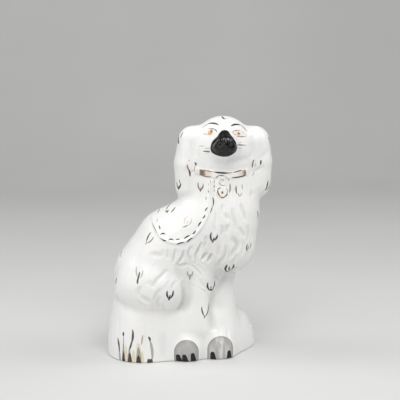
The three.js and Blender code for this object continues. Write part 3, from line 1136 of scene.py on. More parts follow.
@dataclass(frozen=True)
class Decoration:
    """The painted marks: feather flecks, face, collar, chain and tail."""

    # each mark of the tail: start, end, bow, half-width, colour, and how much narrower it starts
    tail: tuple[tuple[Flat, Flat, float, float, Tone, float], ...] = (
        # thin yellow laid first
        ((-79.7, 22), (-79.3, -4), 0.0, 2.7, Tone.STRAW, 0.35),
        ((-70.4, 17), (-70.3, -4), 0.0, 3.2, Tone.STRAW, 0.3),
        ((-64.6, 26), (-64.7, 9), 0.0, 3.0, Tone.STRAW, 0.2),
        ((-60.4, 16), (-60.6, -4), 0.0, 2.7, Tone.STRAW, 0.3),
        # first tuft
        ((-89.6, 28.4), (-87.2, 10.0), 0.5, 1.4, Tone.UMBER, 0.0),
        ((-88.2, 19.0), (-86.4, -4), 0.3, 2.2, Tone.SMOKE, 0.5),
        # second
        ((-82.5, 36.8), (-82.5, 30.8), 0.0, 1.3, Tone.UMBER, 0.0),
        ((-82.5, 33.0), (-82.3, 13.0), 0.0, 0.8, Tone.SMOKE, 0.0),
        ((-82.4, 25.0), (-82.5, -5), 0.0, 2.8, Tone.SMOKE, 0.6),
        # third
        ((-71.4, 42.0), (-72.8, 23.6), 1.1, 1.7, Tone.UMBER, 0.1),
        ((-72.4, 27.4), (-75.9, 14.6), 0.3, 1.2, Tone.UMBER, 0.0),
        ((-75.6, 19.0), (-75.5, -5), 0.0, 3.6, Tone.SMOKE, 0.5),
        # fourth
        ((-59.4, 35.6), (-61.3, 21.8), 0.2, 0.9, Tone.GOLD, 0.0),
        ((-64.6, 21.0), (-64.3, -5), 0.0, 4.5, Tone.SMOKE, 0.5),
        # fifth
        ((-52.5, 33.0), (-50.2, 27.0), 0.3, 1.4, Tone.UMBER, 0.0),
        ((-51.4, 30.0), (-48.2, 3.0), 1.4, 1.8, Tone.SMOKE, 0.0),
        ((-53.0, 6.2), (-52.8, -6), 0.0, 2.2, Tone.UMBER, 0.3),
        ((-48.8, 6.2), (-49.0, -6), 0.0, 2.0, Tone.UMBER, 0.3),
        # dark bases
        ((-82.5, 14.0), (-82.6, -9), 0.0, 3.2, Tone.UMBER, 0.5),
        ((-75.2, 13.0), (-75.2, -10), 0.0, 4.2, Tone.UMBER, 0.5),
        ((-64.8, 11.0), (-64.6, -9), 0.0, 4.6, Tone.UMBER, 0.5),
        ((-50.9, 6.0), (-50.9, -8), 0.0, 3.0, Tone.UMBER, 0.4),
    )
    # each of the other marks: start, end, bow, half-width and colour
    collar: tuple[Mark, ...] = (
        # edges of the strap
        ((15.0, 232.4), (29.0, 230.4), -0.2, 0.75, Tone.BRONZE),
        ((27.0, 230.6), (46.8, 229.4), -0.4, 1.2, Tone.INK),
        ((44.0, 229.4), (50.4, 230.0), 0.0, 0.6, Tone.BRONZE),
        ((49.8, 229.8), (61.8, 232.2), -0.2, 0.8, Tone.BRONZE),
        ((14.6, 224.3), (25.0, 224.5), -0.3, 0.75, Tone.BRONZE),
        ((47.6, 223.8), (67.4, 225.2), -0.7, 0.95, Tone.UMBER),
        ((65.6, 231.4), (65.8, 223.8), 0.4, 1.0, Tone.BRONZE),
        # the loop that the locket hangs from
        ((29.8, 223.0), (33.4, 226.3), 0.3, 0.7, Tone.BRONZE),
        ((31.8, 225.8), (40.4, 225.9), 0.6, 0.7, Tone.BRONZE),
        ((39.4, 226.0), (45.6, 220.0), 0.8, 0.55, Tone.PALE_GOLD),
        ((45.1, 223.0), (45.2, 219.6), 0.3, 0.7, Tone.GOLD),
        ((46.4, 217.4), (45.9, 205.4), 0.6, 0.8, Tone.BRONZE),
        ((35.2, 214.5), (40.2, 214.5), 0.2, 0.65, Tone.BRONZE),
        ((33.0, 218.8), (37.2, 214.6), -0.4, 0.7, Tone.SMOKE),
        ((34.6, 220.6), (40.0, 220.4), 0.8, 0.7, Tone.GOLD),
        # the locket's rim
        ((35.8, 212.2), (31.2, 208.6), -0.9, 0.75, Tone.BRONZE),
        ((31.7, 210.4), (35.0, 201.4), -1.1, 1.1, Tone.BRONZE),
        ((33.6, 202.4), (41.0, 201.6), -1.5, 0.9, Tone.BRONZE),
        ((38.8, 200.8), (43.4, 205.6), -0.8, 0.9, Tone.BRONZE),
        ((43.2, 204.6), (41.2, 212.4), -1.2, 0.6, Tone.GOLD),
        ((42.0, 206.4), (44.2, 202.6), 0.0, 0.6, Tone.GOLD),
    )
    locket: Dot = ((37.2, 206.4), 1.3, 1.8, Tone.RUST)
    # each hanging beside the locket: place across, height, length, half-width and colour
    hangings: tuple[tuple[float, float, float, float, Tone], ...] = (
        (21.4, 215.4, 5.4, 0.6, Tone.PALE_GOLD),
        (21.4, 209.6, 4.0, 0.6, Tone.PALE_GOLD),
        (21.3, 206.6, 2.8, 0.9, Tone.BRONZE),
        (23.8, 218.6, 4.0, 0.7, Tone.PALE_GOLD),
        (28.1, 219.0, 4.8, 0.6, Tone.PALE_GOLD),
        (27.9, 213.2, 4.6, 0.7, Tone.PALE_GOLD),
        (28.2, 208.4, 3.6, 0.6, Tone.PALE_GOLD),
        (18.3, 198.2, 4.6, 0.8, Tone.GOLD),
    )
    hanging_slant: float = 0.2
    # dark dashes, most of them along the inner side of the chain
    chain: tuple[Mark, ...] = (
        ((20.2, 188.6), (16.6, 183.0), -0.3, 0.94, Tone.INK),
        ((16.8, 179.7), (13.4, 174.9), 0.8, 0.94, Tone.INK),
        ((12.4, 171.7), (8.2, 165.5), -0.2, 0.98, Tone.INK),
        ((5.3, 161.4), (1.1, 156.2), 0.7, 0.94, Tone.INK),
        ((-8.8, 150.5), (-1.0, 154.9), 1.0, 0.94, Tone.INK),
        ((2.1, 152.9), (-5.9, 146.5), -0.6, 1.02, Tone.INK),
        ((-8.3, 147.7), (-18.3, 144.7), -0.4, 0.98, Tone.INK),
        ((-18.7, 149.9), (-13.7, 150.7), 0.5, 0.74, Tone.INK),
        ((-27.8, 149.8), (-20.8, 149.4), 1.5, 1.07, Tone.INK),
        ((-37.7, 151.9), (-32.1, 149.7), -0.2, 0.54, Tone.BRONZE),
        ((-35.1, 150.2), (-29.7, 149.2), -0.3, 0.90, Tone.UMBER),
        ((-37.3, 155.8), (-30.7, 156.2), 1.5, 1.11, Tone.INK),
        ((-38.2, 165.5), (-37.0, 160.9), 0.2, 0.81, Tone.UMBER),
        ((-40.0, 171.9), (-39.8, 168.1), 0.0, 0.72, Tone.GOLD),
        ((-45.7, 167.1), (-40.3, 155.9), 0.3, 0.54, Tone.BRONZE),
        # the plain upper end of the chain, under the collar
        ((25.2, 201.2), (25.8, 188.6), 1.3, 0.7, Tone.BRONZE),
        ((25.6, 190.0), (22.8, 181.6), 0.2, 0.5, Tone.BRONZE),
    )
    eyes: tuple[Dot, ...] = (
        ((24.0, 277.6), 3.9, 4.6, Tone.AMBER),
        ((25.2, 278.0), 1.7, 2.1, Tone.RUST),
        ((57.0, 276.0), 4.5, 3.9, Tone.HONEY),
        ((57.6, 275.5), 2.0, 1.6, Tone.RUST),
    )
    face: tuple[Mark, ...] = (
        # lids
        ((21.0, 280.4), (31.4, 279.0), 1.9, 0.6, Tone.BRONZE),
        ((28.6, 280.6), (32.0, 277.6), 0.4, 0.55, Tone.UMBER),
        ((31.6, 277.8), (28.4, 274.6), 0.3, 0.45, Tone.BRONZE),
        ((15.0, 274.6), (21.0, 273.8), 0.2, 0.5, Tone.SMOKE),
        ((49.6, 277.4), (61.4, 278.0), 1.9, 0.6, Tone.BRONZE),
        ((60.4, 278.2), (69.0, 271.4), 0.4, 0.4, Tone.PALE_GOLD),
        ((49.7, 277.6), (54.4, 273.6), -0.6, 0.6, Tone.UMBER),
        ((53.4, 273.6), (68.2, 271.4), -0.9, 0.6, Tone.BRONZE),
        # brows
        ((21.6, 285.6), (35.0, 285.2), 1.5, 1.5, Tone.INK),
        ((15.0, 280.6), (24.6, 286.4), 0.6, 0.6, Tone.BRONZE),
        ((48.4, 283.8), (62.6, 283.6), 2.0, 1.5, Tone.INK),
        ((60.6, 284.6), (69.8, 276.0), 1.1, 0.8, Tone.UMBER),
        # whiskers
        ((23.6, 255.8), (14.4, 254.6), 0.3, 0.8, Tone.UMBER),
        ((23.6, 259.0), (16.2, 258.2), 0.2, 0.5, Tone.SMOKE),
        ((17.4, 261.0), (10.4, 260.2), 0.2, 0.45, Tone.SMOKE),
        ((23.4, 254.2), (17.6, 252.6), 0.3, 0.5, Tone.SMOKE),
        ((53.4, 263.6), (65.0, 261.4), 0.5, 0.8, Tone.UMBER),
        ((60.0, 262.4), (68.4, 260.6), 0.3, 0.5, Tone.SMOKE),
        ((53.8, 261.2), (62.4, 258.2), -0.3, 0.5, Tone.SMOKE),
        ((54.0, 265.8), (62.4, 265.6), -0.3, 0.45, Tone.SMOKE),
    )
    flecks: tuple[Fleck, ...] = (
        Fleck((-13.3, 206), 3, 4.4, 9.4, 0.8, (Tone.UMBER, Tone.UMBER, Tone.UMBER), 0.9, 1.15),
        Fleck((12.2, 205.8), 3, 5.8, 10.8, 1.0, (Tone.BRONZE, Tone.BRONZE, Tone.UMBER), 0.8, 1.1),
        Fleck((25.6, 147.2), 11, 7.4, 11.6, 1.8, (Tone.UMBER, Tone.UMBER, Tone.BRONZE), 0.75, 1.3),
        Fleck((-1.3, 102.5), 0, 5.8, 8.4, 4.0, (Tone.SMOKE, Tone.SMOKE, Tone.SMOKE), 0.9, 1.1),
        Fleck((-27.3, 79.6), 7, 6.8, 10.8, 2.2, (Tone.INK, Tone.INK, Tone.INK), 1.0, 1.3),
    )
    back_dot: Dot = ((-26.8, 180.2), 1.5, 1.7, Tone.BRONZE)
    # the marks that aren't whole flecks
    touches: tuple[Mark, ...] = (
        # the near ear
        ((-3.4, 238.4), (-0.2, 228.4), -0.6, 1.0, Tone.BRONZE),
        ((-0.9, 231.8), (0.4, 222.2), 0.2, 1.2, Tone.UMBER),
        ((5.9, 236.2), (5.2, 228.4), 0.3, 0.9, Tone.GOLD),
        ((5.4, 230.6), (0.6, 227.4), -0.4, 0.6, Tone.PALE_GOLD),
        ((5.9, 240.4), (7.6, 236.0), 0.3, 1.3, Tone.UMBER),
        ((-1.2, 243.6), (-0.4, 240.6), 0.0, 0.8, Tone.GOLD),
        # the top of the head
        ((39.8, 293.8), (42.2, 291.0), -0.3, 1.5, Tone.BRONZE),
        ((41.8, 291.4), (45.2, 291.9), -0.3, 1.2, Tone.SMOKE),
        # the outer edges of both ears
        ((-10.9, 272.0), (-12.2, 260.6), -0.5, 2.1, Tone.INK),
        ((-6.6, 275.8), (-10.4, 267.4), -0.3, 0.9, Tone.BRONZE),
        ((95.8, 269.6), (99.2, 259.2), 0.6, 1.7, Tone.GOLD),
        ((-12.2, 218.4), (-12.4, 213.6), 0.3, 0.9, Tone.BRONZE),
        ((96.9, 216.4), (92.4, 202.2), -0.7, 1.3, Tone.UMBER),
        ((100.0, 213.0), (93.4, 202.6), 0.8, 1.1, Tone.BRONZE),
        # the far ear
        ((77.9, 243.2), (75.7, 232.2), -1.0, 1.1, Tone.BRONZE),
        ((86.1, 242.4), (85.3, 235.8), 0.5, 1.15, Tone.UMBER),
        ((79.7, 239.6), (78.2, 232.8), 0.5, 0.7, Tone.PALE_GOLD),
        ((78.4, 227.6), (75.4, 222.8), 0.4, 0.6, Tone.PALE_GOLD),
        # beside the locket
        ((54.2, 214.4), (55.0, 203.6), -0.6, 0.95, Tone.BRONZE),
        ((61.3, 215.6), (62.2, 208.4), 0.3, 0.75, Tone.SMOKE),
        ((56.4, 205.0), (58.8, 200.6), -0.3, 0.8, Tone.GOLD),
        ((61.4, 205.0), (58.4, 200.8), 0.3, 0.8, Tone.PALE_GOLD),
        # the large pale loops inside the chain
        ((-3.6, 176.8), (-7.8, 167.2), -1.9, 0.85, Tone.PALE_GOLD),
        ((0.2, 174.6), (-3.6, 166.4), 1.6, 0.85, Tone.PALE_GOLD),
        ((-10.6, 164.4), (-3.0, 167.4), -0.5, 0.95, Tone.GOLD),
        ((-3.0, 172.2), (-6.4, 167.8), 0.5, 0.75, Tone.PALE_GOLD),
        # high on the back
        ((-18.4, 187.4), (-28.6, 180.6), -0.9, 1.0, Tone.BRONZE),
        ((-17.4, 185.2), (-23.6, 178.8), 0.8, 1.0, Tone.UMBER),
        ((-29.6, 180.0), (-26.4, 178.6), -0.3, 0.9, Tone.BRONZE),
        ((-36.0, 180.4), (-39.0, 176.4), 0.3, 0.8, Tone.BRONZE),
        # behind the chain
        ((-47.6, 157.4), (-53.4, 145.4), -1.1, 1.15, Tone.UMBER),
        ((-44.6, 152.8), (-53.2, 144.0), 1.7, 0.95, Tone.BRONZE),
        ((-52.6, 146.4), (-54.8, 142.2), 0.0, 1.0, Tone.GOLD),
        # the side of the chest
        ((68.5, 143.8), (67.4, 133.0), -1.6, 1.05, Tone.UMBER),
        ((68.9, 141.6), (68.0, 133.2), 1.3, 0.9, Tone.UMBER),
        ((73.9, 143.0), (71.4, 135.2), 0.4, 0.8, Tone.BRONZE),
        # under the chest
        ((43.9, 118.6), (42.2, 108.0), -0.9, 1.5, Tone.INK),
        ((41.6, 111.2), (47.8, 105.4), -0.9, 1.6, Tone.INK),
        ((51.8, 119.6), (46.6, 106.4), 1.2, 1.4, Tone.UMBER),
        ((46.2, 115.6), (46.4, 108.0), 0.0, 1.1, Tone.INK),
        # the near foreleg
        ((20.6, 96.2), (22.8, 85.0), -2.1, 1.5, Tone.INK),
        ((29.8, 95.6), (26.4, 84.2), 2.0, 1.35, Tone.INK),
        ((21.2, 86.2), (28.0, 84.6), -0.5, 1.1, Tone.INK),
        ((24.7, 89.8), (24.4, 85.8), 0.0, 1.2, Tone.INK),
        ((12.9, 66.6), (16.3, 53.4), -1.3, 0.95, Tone.UMBER),
        ((22.7, 69.0), (16.4, 53.2), 1.9, 1.1, Tone.UMBER),
        ((16.3, 55.0), (15.8, 50.8), 0.0, 0.8, Tone.BRONZE),
        # the rump
        ((-65.2, 118.4), (-64.2, 105.2), -1.4, 0.8, Tone.SMOKE),
        ((-58.2, 115.4), (-62.4, 104.2), 1.2, 0.75, Tone.SMOKE),
        ((-62.3, 112.6), (-64.4, 103.6), 0.3, 1.05, Tone.UMBER),
        ((-64.0, 106.8), (-65.3, 98.0), 0.0, 1.4, Tone.UMBER),
        # the edges of the rump and the far side of the chest
        ((-89.3, 101.6), (-90.9, 92.0), -0.4, 1.4, Tone.UMBER),
        ((-92.0, 92.6), (-91.4, 86.0), 0.0, 1.5, Tone.UMBER),
        ((82.2, 180.4), (83.3, 169.0), 0.4, 1.8, Tone.UMBER),
        ((-82.6, 130), (-84.4, 122.5), -0.4, 0.9, Tone.GOLD),
    )

    def lay(self, painter: Painter) -> None:
        """Lays all the marks in painting order: tail, collar, chain, face, then the coat.

        Args:
            painter: The painter who lays them on the figure.
        """
        for mark in self.tail:
            painter.stroke(*mark)
        painter.dot(*self.locket)
        for mark in self.collar:
            painter.stroke(*mark)
        slant = self.hanging_slant
        for x, z, long, half, tone in self.hangings:
            painter.stroke((x, z + long / 2), (x - slant, z - long / 2), slant, half, tone)
        for mark in self.chain:
            painter.stroke(*mark)
        for dot in self.eyes:
            painter.dot(*dot)
        for mark in self.face:
            painter.stroke(*mark)
        for fleck in self.flecks:
            painter.fleck(fleck)
        painter.dot(*self.back_dot)
        for mark in self.touches:
            painter.stroke(*mark)


@dataclass(frozen=True)
class Fill:
    """An area filled with colour, seen square on."""

    name: str

    def gap(self, flat: np.ndarray) -> np.ndarray:
        """Returns the distance from the area's edge, negative inside; each kind has its own."""
        raise NotImplementedError

    def store(self, mesh: bpy.types.Mesh) -> None:
        """Stores on the mesh how far inside the edge each point lies, in mm.

        Args:
            mesh: The figure's mesh.
        """
        places = read_out(mesh.vertices, "co", 3) / MM - FRAME_SHIFT
        facing = read_out(mesh.vertices, "normal", 3)
        gap = np.maximum(self.gap(places * np.array([1.0, 0.0, 1.0])), FRONT_ONLY * facing[:, 1])
        layer = mesh.attributes.new(self.name, "FLOAT", "POINT")
        layer.data.foreach_set("value", (-gap).astype(np.float32))


@dataclass(frozen=True)
class Pads(Fill):
    """Rounded pads that may run together, each between two points with a radius at either."""

    outlines: tuple[Touch, ...]
    softness: float = 0.5

    def gap(self, flat: np.ndarray) -> np.ndarray:
        """Measures places against the nearest pad's edge.

        Args:
            flat: Places in mm, as x, nought and height.

        Returns:
            The distance, negative inside.
        """
        gap = np.full(len(flat), FAR)
        for start, end, start_radius, end_radius in self.outlines:
            shape = Limb((start[0], 0, start[1]), (end[0], 0, end[1]), start_radius, end_radius)
            gap = press(gap, shape.gap(flat), self.softness)
        return gap


@dataclass(frozen=True)
class Patch(Fill):
    """An area inside a smooth closed edge drawn through some places."""

    edge: tuple[Flat, ...]

    def gap(self, flat: np.ndarray) -> np.ndarray:
        """Measures places against the patch's edge.

        Args:
            flat: Places in mm, as x, nought and height.

        Returns:
            The distance, negative inside.
        """
        line = Furrow(self.edge + self.edge[:1], 1.0, 0.0).curve()
        spots = flat[:, [0, 2]]
        away = np.full(len(spots), FAR)
        inside = np.zeros(len(spots), bool)
        for start, end in zip(line, line[1:]):
            along = end - start
            t = np.clip((spots - start) @ along / (along @ along + 1e-9), 0.0, 1.0)
            away = np.minimum(away, np.linalg.norm(spots - start - t[:, None] * along, axis=1))
            if abs(along[1]) > 1e-9:
                crossed = (start[1] > spots[:, 1]) != (end[1] > spots[:, 1])
                reach = start[0] + (spots[:, 1] - start[1]) / along[1] * along[0]
                inside ^= crossed & (spots[:, 0] < reach)
        return np.where(inside, -away, away)


@dataclass(frozen=True)
class Strap(Fill):
    """The collar's painted strap: a flat band along the raised one."""

    path: tuple[Flat, ...]
    half: float

    def gap(self, flat: np.ndarray) -> np.ndarray:
        """Measures places against the band's edge.

        Args:
            flat: Places in mm, as x, nought and height.

        Returns:
            The distance, negative inside.
        """
        line = np.array(self.path)
        middle = np.interp(flat[:, 0], line[:, 0], line[:, 1])
        slope = np.gradient(line[:, 1], line[:, 0])
        lean = np.hypot(1.0, np.interp(flat[:, 0], line[:, 0], slope))
        across = np.abs(flat[:, 2] - middle) / lean - self.half
        beyond = np.maximum(line[0, 0] - flat[:, 0], flat[:, 0] - line[-1, 0])
        return np.maximum(across, beyond)


@dataclass(frozen=True)
class Enamels:
    """The filled areas: the nose, the paws, the claws and the collar's strap."""

    nose_edge: tuple[Flat, ...] = (
        (37.4, 280.1), (33.9, 277.1), (31.2, 273.3), (27.6, 269.6), (24.9, 266), (23.3, 260.5),
        (23.8, 255.4), (26.3, 253.0), (30.0, 251.4), (35.6, 250.2), (40.8, 250.2), (45.6, 251.4),
        (49.4, 253.4), (53, 256.2), (54.5, 260), (53.8, 264.5), (52, 268.8), (49.6, 272.6),
        (46.7, 276.3), (44.6, 279.4), (41, 280.6),
    )
    paws: tuple[Touch, ...] = (
        ((-6.5, 11.5), (-6.6, -8.0), 15.0, 14.6),
        ((35.4, 12.4), (35.4, -8.0), 16.0, 16.2),
    )
    # each claw: place across, top, half-width at the top, lean
    claws: tuple[tuple[float, float, float, float], ...] = (
        (-16.8, 9.6, 2.9, 3.4),
        (-9.3, 10.0, 2.9, 3.2),
        (0.8, 11.6, 2.7, 2.2),
        (25.6, 10.6, 2.8, 1.8),
        (46.0, 11.2, 2.4, 0.8),
    )
    claw_foot: float = -6.0
    claw_spread: float = 1.9
    strap_path: tuple[Flat, ...] = (
        (11.2, 228.6), (19, 228.0), (28, 227.0), (38, 226.0), (47, 226.2), (57, 227.3), (66.4, 228.4),
    )
    strap_half: float = 3.9

    def lay(self, mesh: bpy.types.Mesh) -> None:
        """Stores all the filled areas on the mesh.

        Args:
            mesh: The figure's mesh.
        """
        claws = tuple(
            ((x, top - wide), (x + lean, self.claw_foot), wide, wide + self.claw_spread)
            for x, top, wide, lean in self.claws
        )
        for fill in (
            Patch("nose", self.nose_edge),
            Pads("paws", self.paws),
            Pads("claws", claws),
            Strap("strap", self.strap_path, self.strap_half),
        ):
            fill.store(mesh)


@dataclass(frozen=True)
class Graph:
    """Small helper that adds and links shader nodes."""

    tree: bpy.types.NodeTree

    def add(self, kind: str, **settings: object) -> bpy.types.Node:
        """Adds a node.

        Args:
            kind: The kind of node.
            settings: What is set on it.

        Returns:
            The node.
        """
        node = self.tree.nodes.new(kind)
        for name, value in settings.items():
            setattr(node, name, value)
        return node

    def feed(self, socket: bpy.types.NodeSocket, value: object) -> None:
        """Links a socket to another one, or sets its value.

        Args:
            socket: The socket.
            value: What feeds it, a socket or a value.
        """
        if isinstance(value, bpy.types.NodeSocket):
            self.tree.links.new(value, socket)
        else:
            socket.default_value = value

    def math(self, operation: str, *values: object, clamp: bool = False) -> bpy.types.NodeSocket:
        """Adds a number operation.

        Args:
            operation: Its name in Blender.
            values: What it works on, sockets or numbers.
            clamp: Whether the result stays between 0 and 1.

        Returns:
            The result.
        """
        node = self.add("ShaderNodeMath", operation=operation, use_clamp=clamp)
        for socket, value in zip(node.inputs, values):
            self.feed(socket, value)
        return node.outputs[0]

    def ramp(self, value: object, low: float, high: float) -> bpy.types.NodeSocket:
        """Adds a soft 0 to 1 step between two values.

        Args:
            value: What is stepped.
            low: Where the step starts.
            high: Where it ends.

        Returns:
            The step's level.
        """
        node = self.add("ShaderNodeMapRange", interpolation_type="SMOOTHSTEP")
        self.feed(node.inputs["Value"], value)
        node.inputs["From Min"].default_value = low
        node.inputs["From Max"].default_value = high
        return node.outputs["Result"]

    def mix(self, factor: object, under: object, over: object) -> bpy.types.NodeSocket:
        """Lays one colour over another.

        Args:
            factor: How much of the upper one shows.
            under: The lower one.
            over: The upper one.

        Returns:
            The mixed colour.
        """
        node = self.add("ShaderNodeMix", data_type="RGBA")
        self.feed(node.inputs[0], factor)
        self.feed(node.inputs[6], under)
        self.feed(node.inputs[7], over)
        return node.outputs[2]

    def blend(self, factor: object, under: object, over: object) -> bpy.types.NodeSocket:
        """Lays one number over another.

        Args:
            factor: How much of the upper one counts.
            under: The lower one.
            over: The upper one.

        Returns:
            The mixed number.
        """
        node = self.add("ShaderNodeMix", data_type="FLOAT")
        self.feed(node.inputs[0], factor)
        self.feed(node.inputs[2], under)
        self.feed(node.inputs[3], over)
        return node.outputs[0]

    def read(self, name: str) -> bpy.types.Node:
        """Returns a node that reads what is stored on the mesh."""
        return self.add("ShaderNodeAttribute", attribute_name=name)

    def noise(self, where: object, scale: float, detail: float) -> bpy.types.NodeSocket:
        """Adds a cloudy pattern.

        Args:
            where: Coordinates on the object.
            scale: How fine it is.
            detail: How detailed it is.

        Returns:
            Its level, between 0 and 1.
        """
        node = self.add("ShaderNodeTexNoise")
        self.feed(node.inputs["Vector"], where)
        node.inputs["Scale"].default_value = scale
        node.inputs["Detail"].default_value = detail
        return node.outputs[0]

    def palette(self, value: object, stops: tuple[tuple[float, Rgb], ...]) -> bpy.types.NodeSocket:
        """Looks a colour up on a palette.

        Args:
            value: The place on the palette.
            stops: The palette's places and colours.

        Returns:
            The colour.
        """
        node = self.add("ShaderNodeValToRGB")
        elements = node.color_ramp.elements
        while len(elements) < len(stops):
            elements.new(0.5)
        for element, (place, colour) in zip(elements, stops):
            element.position = place
            element.color = (*colour, 1.0)
        self.feed(node.inputs[0], value)
        return node.outputs[0]

    def levels(self, value: object, stops: tuple[Flat, ...]) -> bpy.types.NodeSocket:
        """Returns the level of a scale of greys at a place on it."""
        return self.palette(value, tuple((place, (level,) * 3) for place, level in stops))


@dataclass(frozen=True)
class Cloud:
    """A cloudy pattern: how fine and how detailed it is, and where it fades from 0 to 1."""

    scale: float
    detail: float = 2.0
    low: float = 0.0
    high: float = 1.0

    def plain(self, graph: Graph, where: object) -> bpy.types.NodeSocket:
        """Returns the bare pattern."""
        return graph.noise(where, self.scale, self.detail)

    def fade(self, graph: Graph, where: object) -> bpy.types.NodeSocket:
        """Returns the pattern faded from 0 to 1 between its two levels."""
        return graph.ramp(self.plain(graph, where), self.low, self.high)

    def sway(self, graph: Graph, where: object, amount: float) -> bpy.types.NodeSocket:
        """Returns the pattern swaying about nought by an amount."""
        return graph.math("MULTIPLY", graph.math("SUBTRACT", self.plain(graph, where), 0.5), amount)


@dataclass(frozen=True)
class GlazedEarthenware:
    """White glazed earthenware with painted enamel, lustre and an unglazed foot."""

    white: Rgba = (0.85, 0.845, 0.825, 1.0)
    cool_white: Rgba = (0.81, 0.81, 0.80, 1.0)
    # grey of the painted shade in the cuts and creases
    crease_shade_grey: Rgba = (0.42, 0.42, 0.40, 1.0)
    nose_black: Rgba = (0.001, 0.001, 0.0015, 1.0)
    paw_grey: Rgba = (0.43, 0.415, 0.40, 1.0)
    paw_light: Rgba = (0.66, 0.655, 0.64, 1.0)
    biscuit: Rgba = (0.62, 0.53, 0.41, 1.0)
    crackle_brown: Rgba = (0.55, 0.50, 0.42, 1.0)
    speck_brown: Rgba = (0.30, 0.24, 0.18, 1.0)
    # dark of the cap's painted outline and of the painted shade towards its edge
    paw_outline_and_shade_dark: Rgba = (0.13, 0.12, 0.11, 1.0)
    strap_rim: Rgba = (0.50, 0.34, 0.20, 1.0)
    biscuit_grain: Rgba = (0.72, 0.64, 0.52, 1.0)
    refraction: float = 1.47
    whiteness: Cloud = Cloud(22.0, 3.0, 0.35, 0.7)
    specks: Cloud = Cloud(620.0, 1.0, 0.78, 0.82)
    speck_strength: float = 0.35
    sheen: Cloud = Cloud(60.0, 3.0, 0.3, 0.75)
    sheen_rough: Flat = (0.20, 0.28)
    hollow_rough: float = 0.32
    # how far the painted shade greys the cuts and creases
    crease_shade_strength: float = 0.4
    shelter_range: Flat = (0.06, 0.6)
    crackle_scale: float = 130.0
    crackle_line: float = 0.02
    crackle_strength: float = 0.10
    paw_streaks: Cloud = Cloud(260.0, 2.0, 0.36, 0.72)
    streak_stretch: Point = (1.0, 1.0, 0.1)
    streaks_over: Flat = (0.0, 0.03)
    paw_edge: Flat = (-0.15, 0.2)
    paw_rim_depth: Flat = (1.3, 0.5)
    paw_rim_strength: float = 0.6
    paw_shade_depth: Flat = (6.0, 0.5)
    paw_shade_strength: float = 0.28
    nose_edge: Flat = (-0.1, 0.5)
    claw_edge: Flat = (-0.1, 0.4)
    nose_worry: Cloud = Cloud(900.0)
    nose_worry_depth: float = 0.9
    nose_rough: float = 0.13
    strap_wear: Cloud = Cloud(240.0, 3.0)
    strap_wear_depth: float = 0.004
    strap_edge: Flat = (-0.1, 0.25)
    strap_rim_depth: Flat = (1.1, 0.5)
    strap_rim_strength: float = 0.5
    strap_line_depth: Flat = (1.2, 0.5)
    strap_line_cover: float = 0.35
    strap_cover: Flat = (0.02, 0.25)
    stroke_edge: Cloud = Cloud(700.0)
    stroke_edge_depth: float = 0.6
    stroke_fade: Flat = (0.0, 0.3)
    stroke_body: Cloud = Cloud(260.0, 3.0)
    stroke_body_depth: float = 0.5
    stroke_metal: float = 0.5
    stroke_rough: float = 0.22
    lustre_until: Flat = (0.62, 0.58)
    lustre_ceiling: float = 0.56
    wipe_edge: Cloud = Cloud(90.0)
    wipe_unevenness: float = 0.0006
    wiped_below: Flat = (0.0011, 0.0003)
    grain: Cloud = Cloud(400.0, 4.0)
    biscuit_rough: float = 0.85
    swell: Cloud = Cloud(55.0)
    ripple: Cloud = Cloud(260.0)
    ripple_share: float = 0.12
    bump_strength: float = 0.25
    bump_height: float = 0.0006
    palette: tuple[tuple[float, Rgb], ...] = (
        (0.0, (0.66, 0.52, 0.38)),
        (0.16, (0.50, 0.355, 0.23)),
        (0.32, (0.25, 0.17, 0.115)),
        (0.5, (0.055, 0.040, 0.032)),
        (0.6, (0.03, 0.024, 0.021)),
        (0.7, (0.009, 0.008, 0.009)),
        (0.75, (0.009, 0.008, 0.009)),
        (0.8, (0.72, 0.36, 0.16)),
        (0.83, (0.80, 0.53, 0.29)),
        (0.87, (0.20, 0.085, 0.03)),
        (0.92, (0.66, 0.55, 0.28)),
        (0.98, (0.13, 0.12, 0.105)),
    )
    coverage: tuple[Flat, ...] = (
        (0.0, 0.5),
        (0.16, 0.78),
        (0.3, 0.95),
        (0.8, 0.95),
        (0.83, 0.85),
        (0.87, 1.0),
        (0.92, 0.6),
        (0.98, 0.62),
    )
    strap_strength: tuple[Flat, ...] = (
        (0.04, 0.9), (0.10, 1.0), (0.135, 0.8), (0.16, 0.32), (0.24, 0.22), (0.30, 0.04),
        (0.74, 0.04), (0.84, 0.28), (0.88, 0.5), (0.91, 0.85), (0.94, 0.7),
    )
    strap_palette: tuple[tuple[float, Rgb], ...] = (
        (0.0, (0.84, 0.77, 0.72)),
        (0.35, (0.72, 0.62, 0.55)),
        (0.7, (0.40, 0.32, 0.25)),
        (1.0, (0.17, 0.125, 0.085)),
    )
    strap_from: float = 0.008
    strap_length: float = 0.062
    slots: int = 4

    def dress(self, figure: bpy.types.Object) -> None:
        """Makes the material and gives it to the figure.

        Args:
            figure: The figure's object.
        """
        material = bpy.data.materials.new("glazed_earthenware")
        material.use_nodes = True
        graph = Graph(material.node_tree)
        shader = material.node_tree.nodes["Principled BSDF"]
        where = graph.add("ShaderNodeTexCoord").outputs["Object"]
        colour, rough = self.glaze(graph, where)
        colour, rough = self.enamel(graph, where, colour, rough)
        metal = 0.0
        for k in range(self.slots):
            colour, metal, rough = self.brushwork(graph, where, k, colour, metal, rough)
        colour, rough = self.foot(graph, where, colour, rough)
        graph.feed(shader.inputs["Base Color"], colour)
        graph.feed(shader.inputs["Metallic"], metal)
        graph.feed(shader.inputs["Roughness"], rough)
        shader.inputs["IOR"].default_value = self.refraction
        graph.feed(shader.inputs["Normal"], self.skin(graph, where))
        figure.data.materials.append(material)

